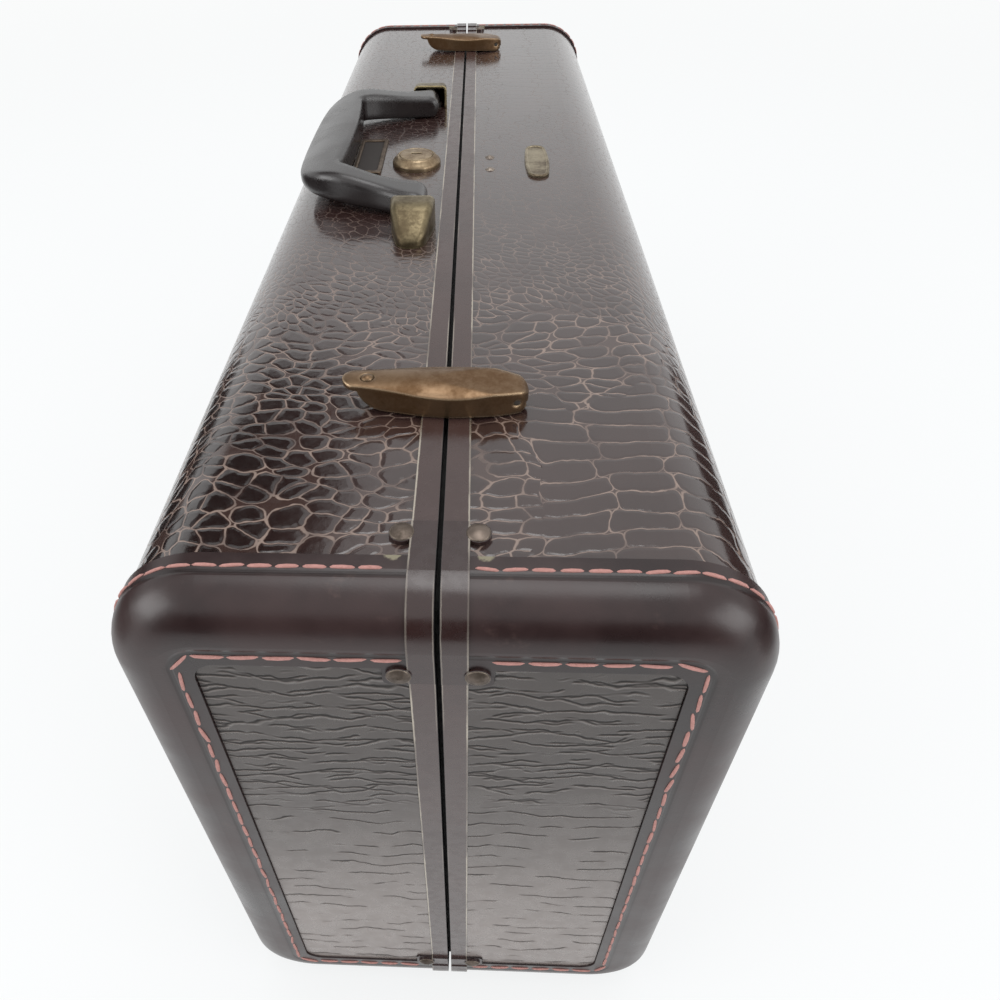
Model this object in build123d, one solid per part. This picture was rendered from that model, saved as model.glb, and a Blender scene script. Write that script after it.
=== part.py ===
from build123d import *
import math
import os

# A hard-sided travelling case with two equal halves, standing on its hinge side.
# X runs across the thickness, Y along the length and Z is up.
# The origin is on the floor, under the middle of the case.
# The base half, on the side of minus X, carries the handle, the lock and the name plate.
# The lid half, on the side of plus X, carries the latches and the badge.

# Case body, in millimetres
thick = 178.0
tall = 274.0
long = 593.4
long_edge_radius = 27.5
end_radius = 12.7
glide_height = 6.5
seam_gap = 1.4

# Wall layers, from the outside in
cover_thick = 0.7
board_thick = 3.0
lining_thick = 0.8

# Leather binding round each end, and the covered panel inside it
binding_thick = 1.3
binding_on_side = 19.5
binding_on_end = 24.5
binding_under_top = 20.3
binding_tab_half = 14.6
binding_tab_drop = 27.4
binding_corner = 7.0
panel_thick = 0.6
panel_clearance = 0.2

# Aluminium rail round the mouth of each half
rail_proud = 0.8
rail_band = 7.8
rail_web = 1.0
rail_flange = 1.0
rail_flange_reach = 9.0
upstand_depth = 5.5
upstand_thick = 1.0
upstand_reach = 4.0

# Corner straps over the rail
strap_proud = 2.1
strap_on_side = 21.3
strap_on_end = 18.0
ear_end_side = 31.6
ear_end_end = 26.5
ear_thick = 0.7
ear_radius = 3.5
strap_rivet_x = 10.2
strap_rivet_side = 27.5
strap_rivet_end = 22.8
strap_rivet_head = 3.3
strap_rivet_rise = 1.0

# Hinges under the case
hinge_places = (-175.0, 175.0)
hinge_length = 50.0
hinge_drop = 2.2
knuckle_radius = 2.4
knuckle_count = 5
knuckle_gap = 0.2
hinge_pin_radius = 1.2
hinge_leaf_thick = 1.0
hinge_leaf_reach = 17.0
hinge_rivet_x = 12.0

# Glides that the case stands on
glide_x = 52.0
glide_y = 235.0
glide_radius = 7.5
glide_skirt = 1.2
glide_wear = 0.3

# Handle
pivot_x = -19.5
pivot_height = 6.5
handle_end_radius = 5.6
handle_outer_round = 3.0
handle_inner_round = 1.6
arm_outside = 78.4
arm_inside = 60.3
trunnion_radius = 2.5
running_gap = 0.05
hood_start = 80.0
hood_length = 25.5
hood_half_width = 9.9
hood_height = 12.9
hood_wall = 1.2
hood_round = 2.6

# Lock
lock_x = -22.5
lock_y = -9.0
escutcheon_radius = 12.5
escutcheon_height = 5.0
plug_radius = 8.44
plug_proud = 0.5
plug_shaft_radius = 4.4
cam_radius = 6.0
cam_throw = 4.0
cam_pin_radius = 1.5
key_slot_long = 5.5
key_slot_wide = 1.5

# Strike on the lid, held by two rivets
strike_rivet_x = 15.7
strike_rivet_pitch = 16.5
strike_rivet_y = -9.0

# Latches
latch_places = (-213.5, 213.5)
latch_pivot_x = 22.0
latch_pivot_height = 4.4
nose_radius = 4.0
lever_wall = 1.4
lever_pin_radius = 1.1
lever_foot = 1.3
ear_room = 2.4
bracket_thick = 0.9
lever_high = 10.5
crown_radius = 20.0
tail_rivet_x = -25.0
tail_rivet_z = 10.1
tail_rivet_radius = 1.1
tail_rivet_head = 2.35
hook_half_width = 2.9

# Name plate and badge
plate_x = -47.6
plate_y = 1.0
badge_x = 40.0
badge_y = -8.0
badge_long = 42.0
badge_wide = 12.4
badge_height = 1.6

# Pocket inside the lid
pocket_long = 440.0
pocket_tall = 165.0
pocket_thick = 4.0
pocket_cloth = 1.0
pocket_foot = 32.0
pleat_count = 22

# Places worked out from the driving dimensions
z_low = glide_height
z_top = z_low + tall
z_mid = z_low + tall / 2
seam = seam_gap / 2
wall = cover_thick + board_thick
end_y = long / 2
mouth = seam + rail_web
hinge_z = z_low - hinge_drop
outer_end = end_y + binding_thick

nodes = {}


def keep(name, *solids):
    """Hold the solids of one named node until they are written."""
    flat = []
    for solid in solids:
        flat.extend(solid.solids())
    nodes[name] = flat


def flip_x(shape):
    """The same shape on the other half of the case."""
    return mirror(shape, about=Plane.YZ)


def flip_y(shape):
    """The same shape at the other end of the case."""
    return mirror(shape, about=Plane.XZ)


def flip_z(shape):
    """The same shape at the foot of the case instead of the top."""
    return mirror(shape, about=Plane.XY.offset(z_mid))


def slab(x_range, y_range, z_range):
    """A box between two values on each axis."""
    size = [high - low for low, high in (x_range, y_range, z_range)]
    middle = [(high + low) / 2 for low, high in (x_range, y_range, z_range)]
    return Pos(*middle) * Box(*size)


def rod(start, stop, radius):
    """A round bar from one point to another along one axis."""
    start = Vector(*start)
    way = Vector(*stop) - start
    return extrude(Plane(origin=start, z_dir=way) * Circle(radius), amount=way.length)


def block(grow):
    """The closed case as one rounded block, grown by the same amount all round."""
    section = RectangleRounded(thick + 2 * grow, tall + 2 * grow, long_edge_radius + grow)
    bar = extrude(Plane.XZ * section, amount=end_y + grow, both=True)
    rims = bar.edges().group_by(Axis.Y)
    return Pos(0, 0, z_mid) * fillet(rims[0] + rims[-1], end_radius + grow)


def mouth_ring(outer, inner, start, stop):
    """A closed ring that follows the mouth of a half, between two growths of its outline."""
    big = RectangleRounded(long + 2 * outer, tall + 2 * outer, end_radius + outer)
    small = RectangleRounded(long + 2 * inner, tall + 2 * inner, end_radius + inner)
    face = Pos(0, z_mid) * (big - small)
    return extrude(Plane.YZ.offset(start) * face, amount=stop - start)


def cap_face(radius, height):
    """Half the section of a low domed head, ready to revolve about Z."""
    ball = (radius ** 2 + height ** 2) / (2 * height)
    half = math.asin(radius / ball) / 2
    middle = (ball * math.sin(half), height - ball + ball * math.cos(half))
    edges = Line((0, height), (0, 0)) + Line((0, 0), (radius, 0))
    edges += ThreePointArc((radius, 0), middle, (0, height))
    return Plane.XZ * make_face(edges)


def dome(radius, height):
    """A low dome that sits on the XY plane."""
    return revolve(cap_face(radius, height), Axis.Z, 360)


def rivet(head_radius, head_height, shank_radius, shank_length):
    """A round-headed rivet, head up, with its shank below the XY plane."""
    shank = rod((0, 0, -shank_length), (0, 0, 0.1), shank_radius)
    return dome(head_radius, head_height) + shank


# The rounded blocks that bound each layer of the wall
bound_block = block(binding_thick)
cover_block = block(0)
board_block = block(-cover_thick)
lining_block = block(-wall)
inside_block = block(-wall - lining_thick)


def lid_side(start):
    """Everything on the lid's side beyond a distance from the seam plane."""
    return slab((start, thick), (-long, long), (-tall, 2 * tall))


def make_shell():
    """Fibreboard tray of the lid half, before its holes."""
    return (board_block - lining_block) & lid_side(mouth)


def make_cover():
    """Embossed covering over the tray, which also lies under the bindings."""
    return (cover_block - board_block) & lid_side(mouth)


def make_lining():
    """Cloth-covered card that lines the tray up to the rail."""
    return (lining_block - inside_block) & lid_side(rail_flange_reach + 0.1)


def end_window(margin):
    """The part of an end face that the binding leaves open, with tabs left under the straps."""
    wide = thick - 2 * (binding_on_end + margin)
    high = tall - 2 * (binding_under_top + margin)
    face = RectangleRounded(wide, high, binding_corner)
    half = binding_tab_half + margin
    drop = tall / 2 - binding_tab_drop - margin
    for side in (-1, 1):
        face -= Pos(0, side * (drop + tall / 2)) * RectangleRounded(2 * half, tall, 2.0)
    return Pos(0, 0, z_mid) * extrude(Plane.XZ * face, amount=long, both=True)


def make_binding():
    """Leather binding round the near end of the lid half, folded from the side to the end."""
    reach = slab((rail_band + 0.1, thick), (-long, -outer_end + binding_on_side), (-tall, 2 * tall))
    return ((bound_block - cover_block) & reach) - end_window(0)


def make_panel():
    """Covered panel on the near end of the lid half, inside the binding."""
    sheet = slab((rail_band + 0.1, thick), (-end_y - panel_thick, -end_y), (-tall, 2 * tall))
    return sheet & end_window(panel_clearance)


def make_rail():
    """Channel that holds the edge of the tray: outer band, web at the seam and inner flange."""
    band = mouth_ring(rail_proud, 0, seam, rail_band)
    web = mouth_ring(rail_proud, -wall - rail_flange, seam, mouth)
    flange = mouth_ring(-wall, -wall - rail_flange, seam, rail_flange_reach)
    return band + web + flange


def make_upstand():
    """Inner lip of the base rail that reaches across the seam and keeps dust out."""
    foot = upstand_depth + upstand_thick
    web = mouth_ring(-wall, -foot, seam, mouth)
    lip = mouth_ring(-upstand_depth, -foot, -upstand_reach, mouth)
    return web + lip


def make_strap():
    """Pressed strap over the rail at the near top corner of the lid half, with two riveted ears."""
    wrap = mouth_ring(strap_proud, rail_proud, seam, rail_band + 0.1)
    side_end = -outer_end + strap_on_side
    corner = slab((0, thick), (-long, side_end), (z_top - strap_on_end, 2 * tall))
    body = wrap & corner
    ear_z = z_top + rail_proud
    ear_top = -outer_end + ear_end_side
    rivet_y = -outer_end + strap_rivet_side
    plate = slab((seam, rail_band + 0.1), (side_end - 1, ear_top), (ear_z, ear_z + ear_thick))
    lobe = Pos(strap_rivet_x, rivet_y, ear_z) * Cylinder(
        ear_radius, ear_thick, align=(Align.CENTER, Align.CENTER, Align.MIN))
    foot = Pos(strap_rivet_x, rivet_y, z_top) * Cylinder(
        ear_radius, rail_proud, align=(Align.CENTER, Align.CENTER, Align.MIN))
    foot = foot & lid_side(rail_band + 0.1)
    low_z = z_top - ear_end_end
    rivet_z = z_top - strap_rivet_end
    face_y = -end_y - rail_proud
    end_plate = slab((seam, rail_band + 0.1), (face_y - 0.9, face_y), (low_z, z_top - strap_on_end + 1))
    end_lobe = rod((strap_rivet_x, -outer_end, rivet_z), (strap_rivet_x, -outer_end - ear_thick, rivet_z),
                   ear_radius)
    return body + plate + lobe + foot + end_plate + end_lobe


def strap_rivets():
    """The two rivets of the near top strap, as solids and as the holes that they need."""
    rivet_y = -outer_end + strap_rivet_side
    rivet_z = z_top - strap_rivet_end
    on_side = rivet(strap_rivet_head, strap_rivet_rise, 1.3, rail_proud + ear_thick + 3.2)
    on_end = rivet(strap_rivet_head, strap_rivet_rise, 1.3, binding_thick + ear_thick + 3.2)
    top = Pos(strap_rivet_x, rivet_y, z_top + rail_proud + ear_thick) * on_side
    end = Pos(strap_rivet_x, -outer_end - ear_thick, rivet_z) * Rot(90, 0, 0) * on_end
    holes = [rod((strap_rivet_x, rivet_y, z_top - 3.2), (strap_rivet_x, rivet_y, z_top + 6), 1.3),
             rod((strap_rivet_x, -end_y + 3.2, rivet_z), (strap_rivet_x, -end_y - 6, rivet_z), 1.3)]
    return [top, end], holes


def four_corners(shape):
    """A piece of the near top corner, repeated at the four corners of the same half."""
    low = flip_z(shape)
    return [shape, flip_y(shape), low, flip_y(low)]


def pierce(shape, tools):
    """Cut every tool out of a shape."""
    for tool in tools:
        shape = shape - tool
    return shape


def make_hinge_leaf(place, is_lid):
    """One leaf with its knuckles. Base and lid knuckles take turns along the pin."""
    pitch = hinge_length / knuckle_count
    start = place - hinge_length / 2
    side = 1 if is_lid else -1
    rail_face = z_low - rail_proud
    ends = (start, start + hinge_length)
    under = rail_face - hinge_leaf_thick
    plate = slab(sorted((side * 2.4, side * (rail_band + 0.5))), ends, (under, rail_face))
    plate += slab(sorted((side * (rail_band + 0.1), side * hinge_leaf_reach)), ends, (under, z_low))
    corners = plate.edges().filter_by(Axis.Z).sort_by(Axis.X)
    plate = fillet(corners[-2:] if is_lid else corners[:2], 4.0)
    leaf = plate
    for index in range(knuckle_count):
        if (index % 2 == 1) != is_lid:
            continue
        low = start + index * pitch + knuckle_gap / 2
        high = low + pitch - knuckle_gap
        leaf += rod((0, low, hinge_z), (0, high, hinge_z), knuckle_radius)
        leaf += slab(sorted((0, side * 3.0)), (low, high), (rail_face - hinge_leaf_thick, rail_face))
    bore = rod((0, start - 1, hinge_z), (0, start + hinge_length + 1, hinge_z), hinge_pin_radius + running_gap)
    return leaf - bore


def hinge_notch(place):
    """Room in both rails for the upper part of a hinge's knuckles."""
    half = hinge_length / 2 + 1.2
    return slab((-2.6, 2.6), (place - half, place + half), (z_low - 3, z_low + 0.5))


def make_hinge_pin(place):
    """Pin with a small head at its far end, riveted into the base leaf's end knuckles."""
    half = hinge_length / 2
    shaft = rod((0, place - half, hinge_z), (0, place + half, hinge_z), hinge_pin_radius)
    head = rod((0, place + half, hinge_z), (0, place + half + 0.8, hinge_z), 1.9)
    return shaft + head


def hinge_rivet_spots(place):
    """Where the three rivets of a hinge leaf go along the hinge."""
    return [place - 16.0, place, place + 16.0]


def make_glide(x, y):
    """Domed steel glide, worn to a small flat, with a short nail into the board."""
    skirt = Cylinder(glide_radius, glide_skirt, align=(Align.CENTER, Align.CENTER, Align.MIN))
    crown = Pos(0, 0, glide_skirt) * dome(glide_radius, glide_height - glide_skirt + glide_wear)
    nail = rod((0, 0, -3.2), (0, 0, 0.1), 1.2)
    glide = Pos(x, y, z_low) * Rot(180, 0, 0) * (skirt + crown + nail)
    return glide & slab((0, thick), (-long, long), (0, tall))


def hood_plan(inset, back):
    """Outline of a hood seen from above, drawn inside the outer edge by an inset."""
    half = hood_half_width - inset
    tip = -hood_length + inset
    side = Line((half, back), (half - 0.3, -6.0))
    nose = Spline((half - 0.3, -6.0), (7.6 - inset, -16.5 + inset / 2), (0, tip), tangents=[(-0.06, -1), (-1, 0)])
    edges = Line((-half, back), (half, back)) + side + nose
    return make_face(edges + mirror(side, about=Plane.YZ) + mirror(nose, about=Plane.YZ))


def hood_side(drop, back, bottom):
    """Side view of a hood, with its top lowered by a drop."""
    top = hood_height - drop
    far = -hood_length - 1
    edges = Line((back, top), (-5.0, top - 0.1))
    edges += Spline((-5.0, top - 0.1), (-16.0, 9.4 - drop), (far, 2.2 - drop), tangents=[(-1, -0.02), (-1, -1.1)])
    edges += Line((far, 2.2 - drop), (far, bottom)) + Line((far, bottom), (back, bottom))
    edges += Line((back, bottom), (back, top))
    return extrude(Plane.YZ * make_face(edges), amount=20, both=True)


def make_hood():
    """Hollow brass hood, open towards the middle of the handle and sloping down outwards."""
    outer = extrude(hood_plan(0, 0), amount=20) & hood_side(0, 0, 0)
    rim = []
    for edge in outer.edges():
        box = edge.bounding_box()
        if box.min.Z > 1 and box.size.X > 0.05 and box.size.Y > 0.5:
            rim.append(edge)
    outer = fillet(rim, hood_round)
    bottom = -2
    room = extrude(Plane.XY.offset(bottom) * hood_plan(hood_wall, 2), amount=22) & hood_side(hood_wall, 2, bottom)
    return outer - room


def make_bearing():
    """Steel block under the hood that holds a trunnion of the handle."""
    shape = Pos(0, 1.0) * Rectangle(12.0, 2.0) + Pos(0, pivot_height / 2) * Rectangle(7.4, pivot_height)
    shape += Pos(0, pivot_height) * Circle(3.7)
    body = Pos(0, -4.0, 0) * extrude(Plane.XZ * shape, amount=7.0)
    hole = rod((0, 0, pivot_height), (0, -20, pivot_height), trunnion_radius + running_gap)
    return body - hole


def handle_plan():
    """Outline of the handle seen from above, both arms running on past the pivot."""
    stop = pivot_x + 8
    outer = [(stop, -arm_outside - 0.2), (pivot_x, -arm_outside), (-25.0, -76.6), (-31.0, -73.8), (-38.0, -71.0),
             (-45.0, -69.0), (-58.0, -65.0), (-67.5, -59.6), (-74.0, -51.0), (-77.4, -36.0), (-78.3, -18.0)]
    far = [(x, -y) for x, y in reversed(outer)]
    rim = Spline(*(outer + [(-78.5, 0)] + far))
    arm = Spline((-52.4, -50.3), (-48.3, -52.6), (-44.0, -54.4), (-38.5, -56.4), (-33.0, -57.9), (-26.0, -59.4),
                 (pivot_x, -arm_inside), (stop, -arm_inside - 0.5))
    corner = ThreePointArc((-56.0, -45.0), (-55.2, -48.2), (-52.4, -50.3))
    end = Line((stop, -arm_outside - 0.2), (stop, -arm_inside - 0.5))
    grip = ThreePointArc((-56.0, -45.0), (-54.0, 0), (-56.0, 45.0))
    edges = Curve() + [rim, grip]
    for piece in (arm, corner, end):
        edges += [piece, mirror(piece, about=Plane.XZ)]
    return make_face(edges)


def handle_side():
    """Side view of the handle: a round end on the pivot and a grip that rises clear of the case."""
    top = pivot_height + handle_end_radius
    low = pivot_height - handle_end_radius
    crown = Spline((-84.0, 5.6), (-79.0, 8.9), (-75.0, 11.2), (-70.0, 13.7), (-64.0, 15.7), (-58.0, 16.6),
                   (-52.0, 16.4), (-45.0, 15.2), (-36.0, 13.5), (-27.0, 12.4), (pivot_x, top))
    under = Spline((-84.0, 5.0), (-78.0, 4.6), (-70.0, 4.1), (-56.0, 3.1), (-45.0, 2.0), (-34.0, 1.2),
                   (-26.0, 0.95), (pivot_x, low))
    tip = Line((-84.0, 5.6), (-84.0, 5.0))
    end = CenterArc((pivot_x, pivot_height), handle_end_radius, -90, 180)
    return Plane.XZ * make_face(Curve() + [crown, under, tip, end])


def make_handle():
    """Moulded handle: a broad grip that slopes down outwards, and two arms that taper to the pivot."""
    rise = Pos(0, 90, 0) * extrude(handle_side(), amount=180)
    body = extrude(handle_plan(), amount=20) & rise
    for inside, radius in ((False, handle_outer_round), (True, handle_inner_round)):
        rims = []
        for edge in body.edges():
            box = edge.bounding_box()
            spot = edge @ 0.5
            upright = box.size.X < 0.3 and box.size.Y < 0.3
            crosswise = box.size.X < 0.05
            facing_in = abs(spot.Y) < arm_inside + 1.7 and spot.X > -57.0
            if not upright and not crosswise and facing_in == inside:
                rims.append(edge)
        body = fillet(rims, radius)
    body = Pos(0, 0, z_top) * body
    for side in (-1, 1):
        body -= make_trunnion(side)
    return body


def make_trunnion(side):
    """Steel stub moulded into an arm, which turns in the bearing under the hood."""
    z = z_top + pivot_height
    return rod((pivot_x, side * (arm_inside + 5), z), (pivot_x, side * (hood_start + 12.5), z), trunnion_radius)


def make_escutcheon():
    """Domed brass ring round the lock plug."""
    hole = plug_radius + 0.06
    edges = Line((hole, 0), (escutcheon_radius, 0)) + Line((escutcheon_radius, 0), (escutcheon_radius, 1.0))
    edges += Spline((escutcheon_radius, 1.0), (escutcheon_radius - 1.6, 3.6), (hole + 0.5, escutcheon_height),
                    tangents=[(0, 1), (-1, 0.1)])
    edges += Line((hole + 0.5, escutcheon_height), (hole, escutcheon_height - 0.5))
    edges += Line((hole, escutcheon_height - 0.5), (hole, 0))
    return Pos(lock_x, lock_y, z_top) * revolve(Plane.XZ * make_face(edges), Axis.Z, 360)


def make_plug():
    """Lock plug: slotted disc, shaft through the wall, cam disc and cam pin."""
    top = escutcheon_height
    disc = rod((0, 0, 0.1), (0, 0, top), plug_radius) + Pos(0, 0, top) * dome(plug_radius, plug_proud)
    shaft = rod((0, 0, -7.4), (0, 0, 0.2), plug_shaft_radius)
    cam = rod((0, 0, -9.2), (0, 0, -7.4), cam_radius)
    angle = math.radians(-45)
    pin_spot = (cam_throw * math.cos(angle), cam_throw * math.sin(angle))
    pin = rod((*pin_spot, -11.6), (*pin_spot, -9.1), cam_pin_radius)
    slot = slab((-key_slot_long / 2, key_slot_long / 2), (-key_slot_wide / 2, key_slot_wide / 2),
                (top - 3.5, top + 2))
    return Pos(lock_x, lock_y, z_top) * (disc + shaft + cam + pin - slot)


def make_lock_case():
    """Pressed steel box under the wall that guides the bolt, open where the strike comes in."""
    outer = slab((-33.0, -4.6), (-25.0, 7.0), (z_top - 14.8, z_top - wall))
    room = slab((-32.2, -5.4), (-24.2, 6.2), (z_top - 14.0, z_top - wall - 0.8))
    bore = rod((lock_x, lock_y, z_top - 6), (lock_x, lock_y, z_top), plug_shaft_radius + running_gap)
    door = slab((-6, -4), (-10.5, 0.5), (z_top - 14.0, z_top - 6.6))
    shelf = slab((-32.2, -17.5), (-24.2, 6.2), (z_top - 14.0, z_top - 11.9))
    return outer - room - bore - door + shelf


def make_bolt():
    """Flat bolt that the cam pin slides along Y, with a finger that passes through the strike."""
    rest = lock_y - cam_throw * math.sin(math.radians(45))
    low = z_top - 11.5
    high = z_top - 9.5
    plate = slab((-28.0, -14.0), (rest - 4.6, rest + 4.6), (low, high))
    arm = slab((-14.0, -6.8), (rest - 4.6, rest - 0.8), (low, high))
    finger = slab((-10.2, -6.8), (rest - 1.0, -5.2), (low, high))
    slot = slab((lock_x + 1.1, lock_x + 5.8), (rest - cam_pin_radius - 0.25, rest + cam_pin_radius + 0.25),
                (low - 1, high + 1))
    return plate + arm + finger - slot


def make_strike():
    """Joggled plate riveted inside the lid, with a tongue that crosses the seam to the bolt."""
    half = strike_rivet_pitch / 2 + 4.2
    plate = slab((9.3, 22.0), (strike_rivet_y - half, strike_rivet_y + half), (z_top - 5.7, z_top - 4.5))
    step = slab((6.6, 9.9), (-9.4, -1.7), (z_top - 8.6, z_top - 4.9))
    tongue = slab((-12.5, 8.4), (-9.4, -1.7), (z_top - 8.6, z_top - 7.1))
    ear = slab((-12.5, -4.6), (-3.2, -1.7), (z_top - 13.4, z_top - 7.1))
    hole = slab((-10.9, -6.1), (-5, 0), (z_top - 12.1, z_top - 9.0))
    return plate + step + tongue + ear - hole


def make_name_plate():
    """Frame of the name plate, standing on the cover."""
    outline = RectangleRounded(15.0, 48.0, 1.5) - RectangleRounded(10.6, 42.0, 0.8)
    frame = extrude(outline, amount=1.2)
    return Pos(plate_x, plate_y, z_top) * chamfer(frame.faces().sort_by(Axis.Z)[-1].edges(), 0.35)


def make_name_insert():
    """Blank insert in the name plate's frame."""
    return Pos(plate_x, plate_y, z_top) * extrude(RectangleRounded(10.4, 41.8, 0.7), amount=0.5)


def make_badge():
    """Blank long badge with bowed sides, rounded ends and a raised rim."""
    half = badge_long / 2
    flat = badge_wide / 2
    neck = flat - 0.9
    turn = half - 5.0
    side = ThreePointArc((neck, -turn), (flat, 0), (neck, turn))
    cap = ThreePointArc((neck, turn), (0, half), (-neck, turn))
    outline = make_face(Curve() + [side, cap, mirror(side, about=Plane.YZ), mirror(cap, about=Plane.XZ)])
    rim = extrude(outline, amount=badge_height)
    rim = chamfer(rim.faces().sort_by(Axis.Z)[-1].edges(), 0.5)
    rim -= Pos(0, 0, badge_height - 0.4) * extrude(offset(outline, -1.4), amount=1)
    return Pos(badge_x, badge_y, z_top) * rim


def lever_plan():
    """Leaf-shaped outline of a latch lever, seen from above."""
    nose = ThreePointArc((25.8, 0), (25.0, 2.8), (22.8, 4.75))
    flank = ThreePointArc((22.8, 4.75), (6.0, 8.6), (-12.0, 7.1))
    waist = ThreePointArc((-12.0, 7.1), (-19.5, 5.6), (-27.5, 4.4))
    tip = ThreePointArc((-27.5, 4.4), (-31.4, 3.1), (-32.9, 0))
    half = nose + flank + waist + tip
    return make_face(half + mirror(half, about=Plane.XZ))


def lever_crown():
    """Long bar whose rounded top gives the lever its crown across the width."""
    half = 12.0
    edge = lever_high - crown_radius + math.sqrt(crown_radius ** 2 - half ** 2)
    edges = ThreePointArc((-half, edge), (0, lever_high), (half, edge)) + Line((half, edge), (half, -5))
    edges += Line((half, -5), (-half, -5)) + Line((-half, -5), (-half, edge))
    return extrude(Plane.YZ * make_face(edges), amount=60, both=True)


def make_lever():
    """Hollow brass latch lever: crowned top, skirt on both sides and a raised tail."""
    px = latch_pivot_x
    pz = latch_pivot_height
    nose = CenterArc((px, pz), nose_radius, -90, 180)
    top = ThreePointArc((px, pz + nose_radius), (-4.0, lever_high), (-34.0, 10.3))
    tail = Line((-34.0, 10.3), (-34.0, 8.6)) + Line((-34.0, 8.6), (-28.0, 8.25))
    sweep = ThreePointArc((-28.0, 8.25), (-25.4, 3.6), (-20.0, lever_foot))
    foot = Line((-20.0, lever_foot), (9.5, lever_foot)) + Line((9.5, lever_foot), (px, pz - nose_radius))
    side = Plane.XZ * make_face(nose + top + tail + sweep + foot)
    outer = extrude(lever_plan(), amount=16) & extrude(side, amount=20, both=True)
    outer = outer & lever_crown()
    inner_nose = CenterArc((px, pz), nose_radius - lever_wall, -20, 110)
    lip = math.radians(-20)
    start = (px + (nose_radius - lever_wall) * math.cos(lip), pz + (nose_radius - lever_wall) * math.sin(lip))
    out = (px + 6, pz + 6 * math.tan(lip))
    room = inner_nose + ThreePointArc((px, pz + nose_radius - lever_wall), (-3.0, 8.6), (-28.6, 8.2))
    room += Line((-28.6, 8.2), (-28.6, -2)) + Line((-28.6, -2), (px + 6, -2)) + Line((px + 6, -2), out)
    room += Line(out, start)
    room_side = extrude(Plane.XZ * make_face(room), amount=20, both=True)
    room_plan = offset(lever_plan(), -lever_wall) + Pos(px - 1.1, 0) * Rectangle(6.6, 2 * ear_room)
    cavity = extrude(room_plan, amount=16) & room_side
    wedge = make_face(Polyline((px, pz), out, (px + 6, -2), (px - 3, -2), (px, pz)))
    mouth_cut = extrude(Plane.XZ * wedge, amount=ear_room + 0.3, both=True)
    bore = rod((px, -12, pz), (px, 12, pz), lever_pin_radius + running_gap)
    rivet_hole = rod((tail_rivet_x, 0, 5), (tail_rivet_x, 0, 12), tail_rivet_radius)
    rivet_seat = rod((tail_rivet_x, 0, tail_rivet_z), (tail_rivet_x, 0, 12), tail_rivet_head)
    return outer - cavity - mouth_cut - bore - rivet_hole - rivet_seat


def make_hook():
    """Steel hook riveted under the tail, whose leg drops behind the catch."""
    plate = slab((-27.2, -15.6), (-hook_half_width, hook_half_width), (7.1, 8.2))
    leg = slab((-18.6, -17.2), (-hook_half_width, hook_half_width), (1.7, 8.2))
    lip = slab((-18.6, -16.4), (-hook_half_width, hook_half_width), (1.7, 2.6))
    hole = rod((tail_rivet_x, 0, 5), (tail_rivet_x, 0, 9), tail_rivet_radius)
    return plate + leg + lip - hole


def make_tail_rivet():
    """Round-headed rivet that joins the hook to the lever's tail."""
    return Pos(tail_rivet_x, 0, tail_rivet_z) * rivet(tail_rivet_head, 1.1, tail_rivet_radius, 3.5)


def make_catch():
    """Steel catch on the base: a plate with a raised ridge that the hook drops behind."""
    plate = slab((-15.0, -9.2), (-4.2, 4.2), (0, 0.9))
    ridge = slab((-15.6, -14.0), (-3.2, 3.2), (0, 5.6))
    ridge = fillet(ridge.edges().filter_by(Axis.Y).group_by(Axis.Z)[-1], 0.7)
    lip = slab((-16.3, -14.6), (-3.2, 3.2), (4.4, 5.6))
    lip = fillet(lip.edges().filter_by(Axis.Y).group_by(Axis.Z)[-1], 0.5)
    return plate + ridge + lip


def make_bracket():
    """Steel bracket on the lid: a plate with two ears that hold the lever's pin."""
    px = latch_pivot_x
    pz = latch_pivot_height
    half = ear_room - 0.1
    plate = slab((9.0, 18.2), (-half, half), (0, bracket_thick))
    ear = make_face(Polyline((10.5, 0.5), (18.2, 0.5), (19.6, 2.6), (px, pz - 1.9), (px, pz + 1.9),
                             (17.0, 6.4), (10.5, 0.5)))
    ear += Pos(px, pz) * Circle(1.9)
    ears = extrude(Plane.XZ.offset(ear_room - 0.1 - bracket_thick) * ear, amount=bracket_thick)
    ears += mirror(ears, about=Plane.XZ)
    bore = rod((px, -12, pz), (px, 12, pz), lever_pin_radius)
    return plate + ears - bore


def make_latch_pin():
    """Cross pin of a latch lever."""
    return rod((latch_pivot_x, -4.6, latch_pivot_height), (latch_pivot_x, 4.6, latch_pivot_height), lever_pin_radius)


def make_pocket():
    """Gathered cloth pocket against the inside of the lid's large face."""
    face_x = thick / 2 - wall - lining_thick
    pitch = pocket_long / pleat_count
    start = -pocket_long / 2
    front = face_x - pocket_thick
    edges = Curve()
    for index in range(pleat_count):
        low = start + index * pitch
        edges += ThreePointArc((front, low), (front - 1.6, low + pitch / 2), (front, low + pitch))
    edges += Line((front, start), (face_x, start)) + Line((face_x, start), (face_x, -start))
    edges += Line((face_x, -start), (front, -start))
    body = Pos(0, 0, z_low + pocket_foot) * extrude(make_face(edges), amount=pocket_tall)
    half = pocket_long / 2 - pocket_cloth
    low = z_low + pocket_foot + pocket_cloth
    return body - slab((front + pocket_cloth, face_x + 1), (-half, half), (low, z_top))


def make_pocket_band():
    """Elastic band in the pocket's upper hem."""
    face_x = thick / 2 - wall - lining_thick
    low = z_low + pocket_foot + pocket_tall
    band = slab((face_x - pocket_thick - 0.5, face_x), (-pocket_long / 2, pocket_long / 2), (low, low + 12))
    return fillet(band.edges().filter_by(Axis.Y).group_by(Axis.X)[0], 2.0)


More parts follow.
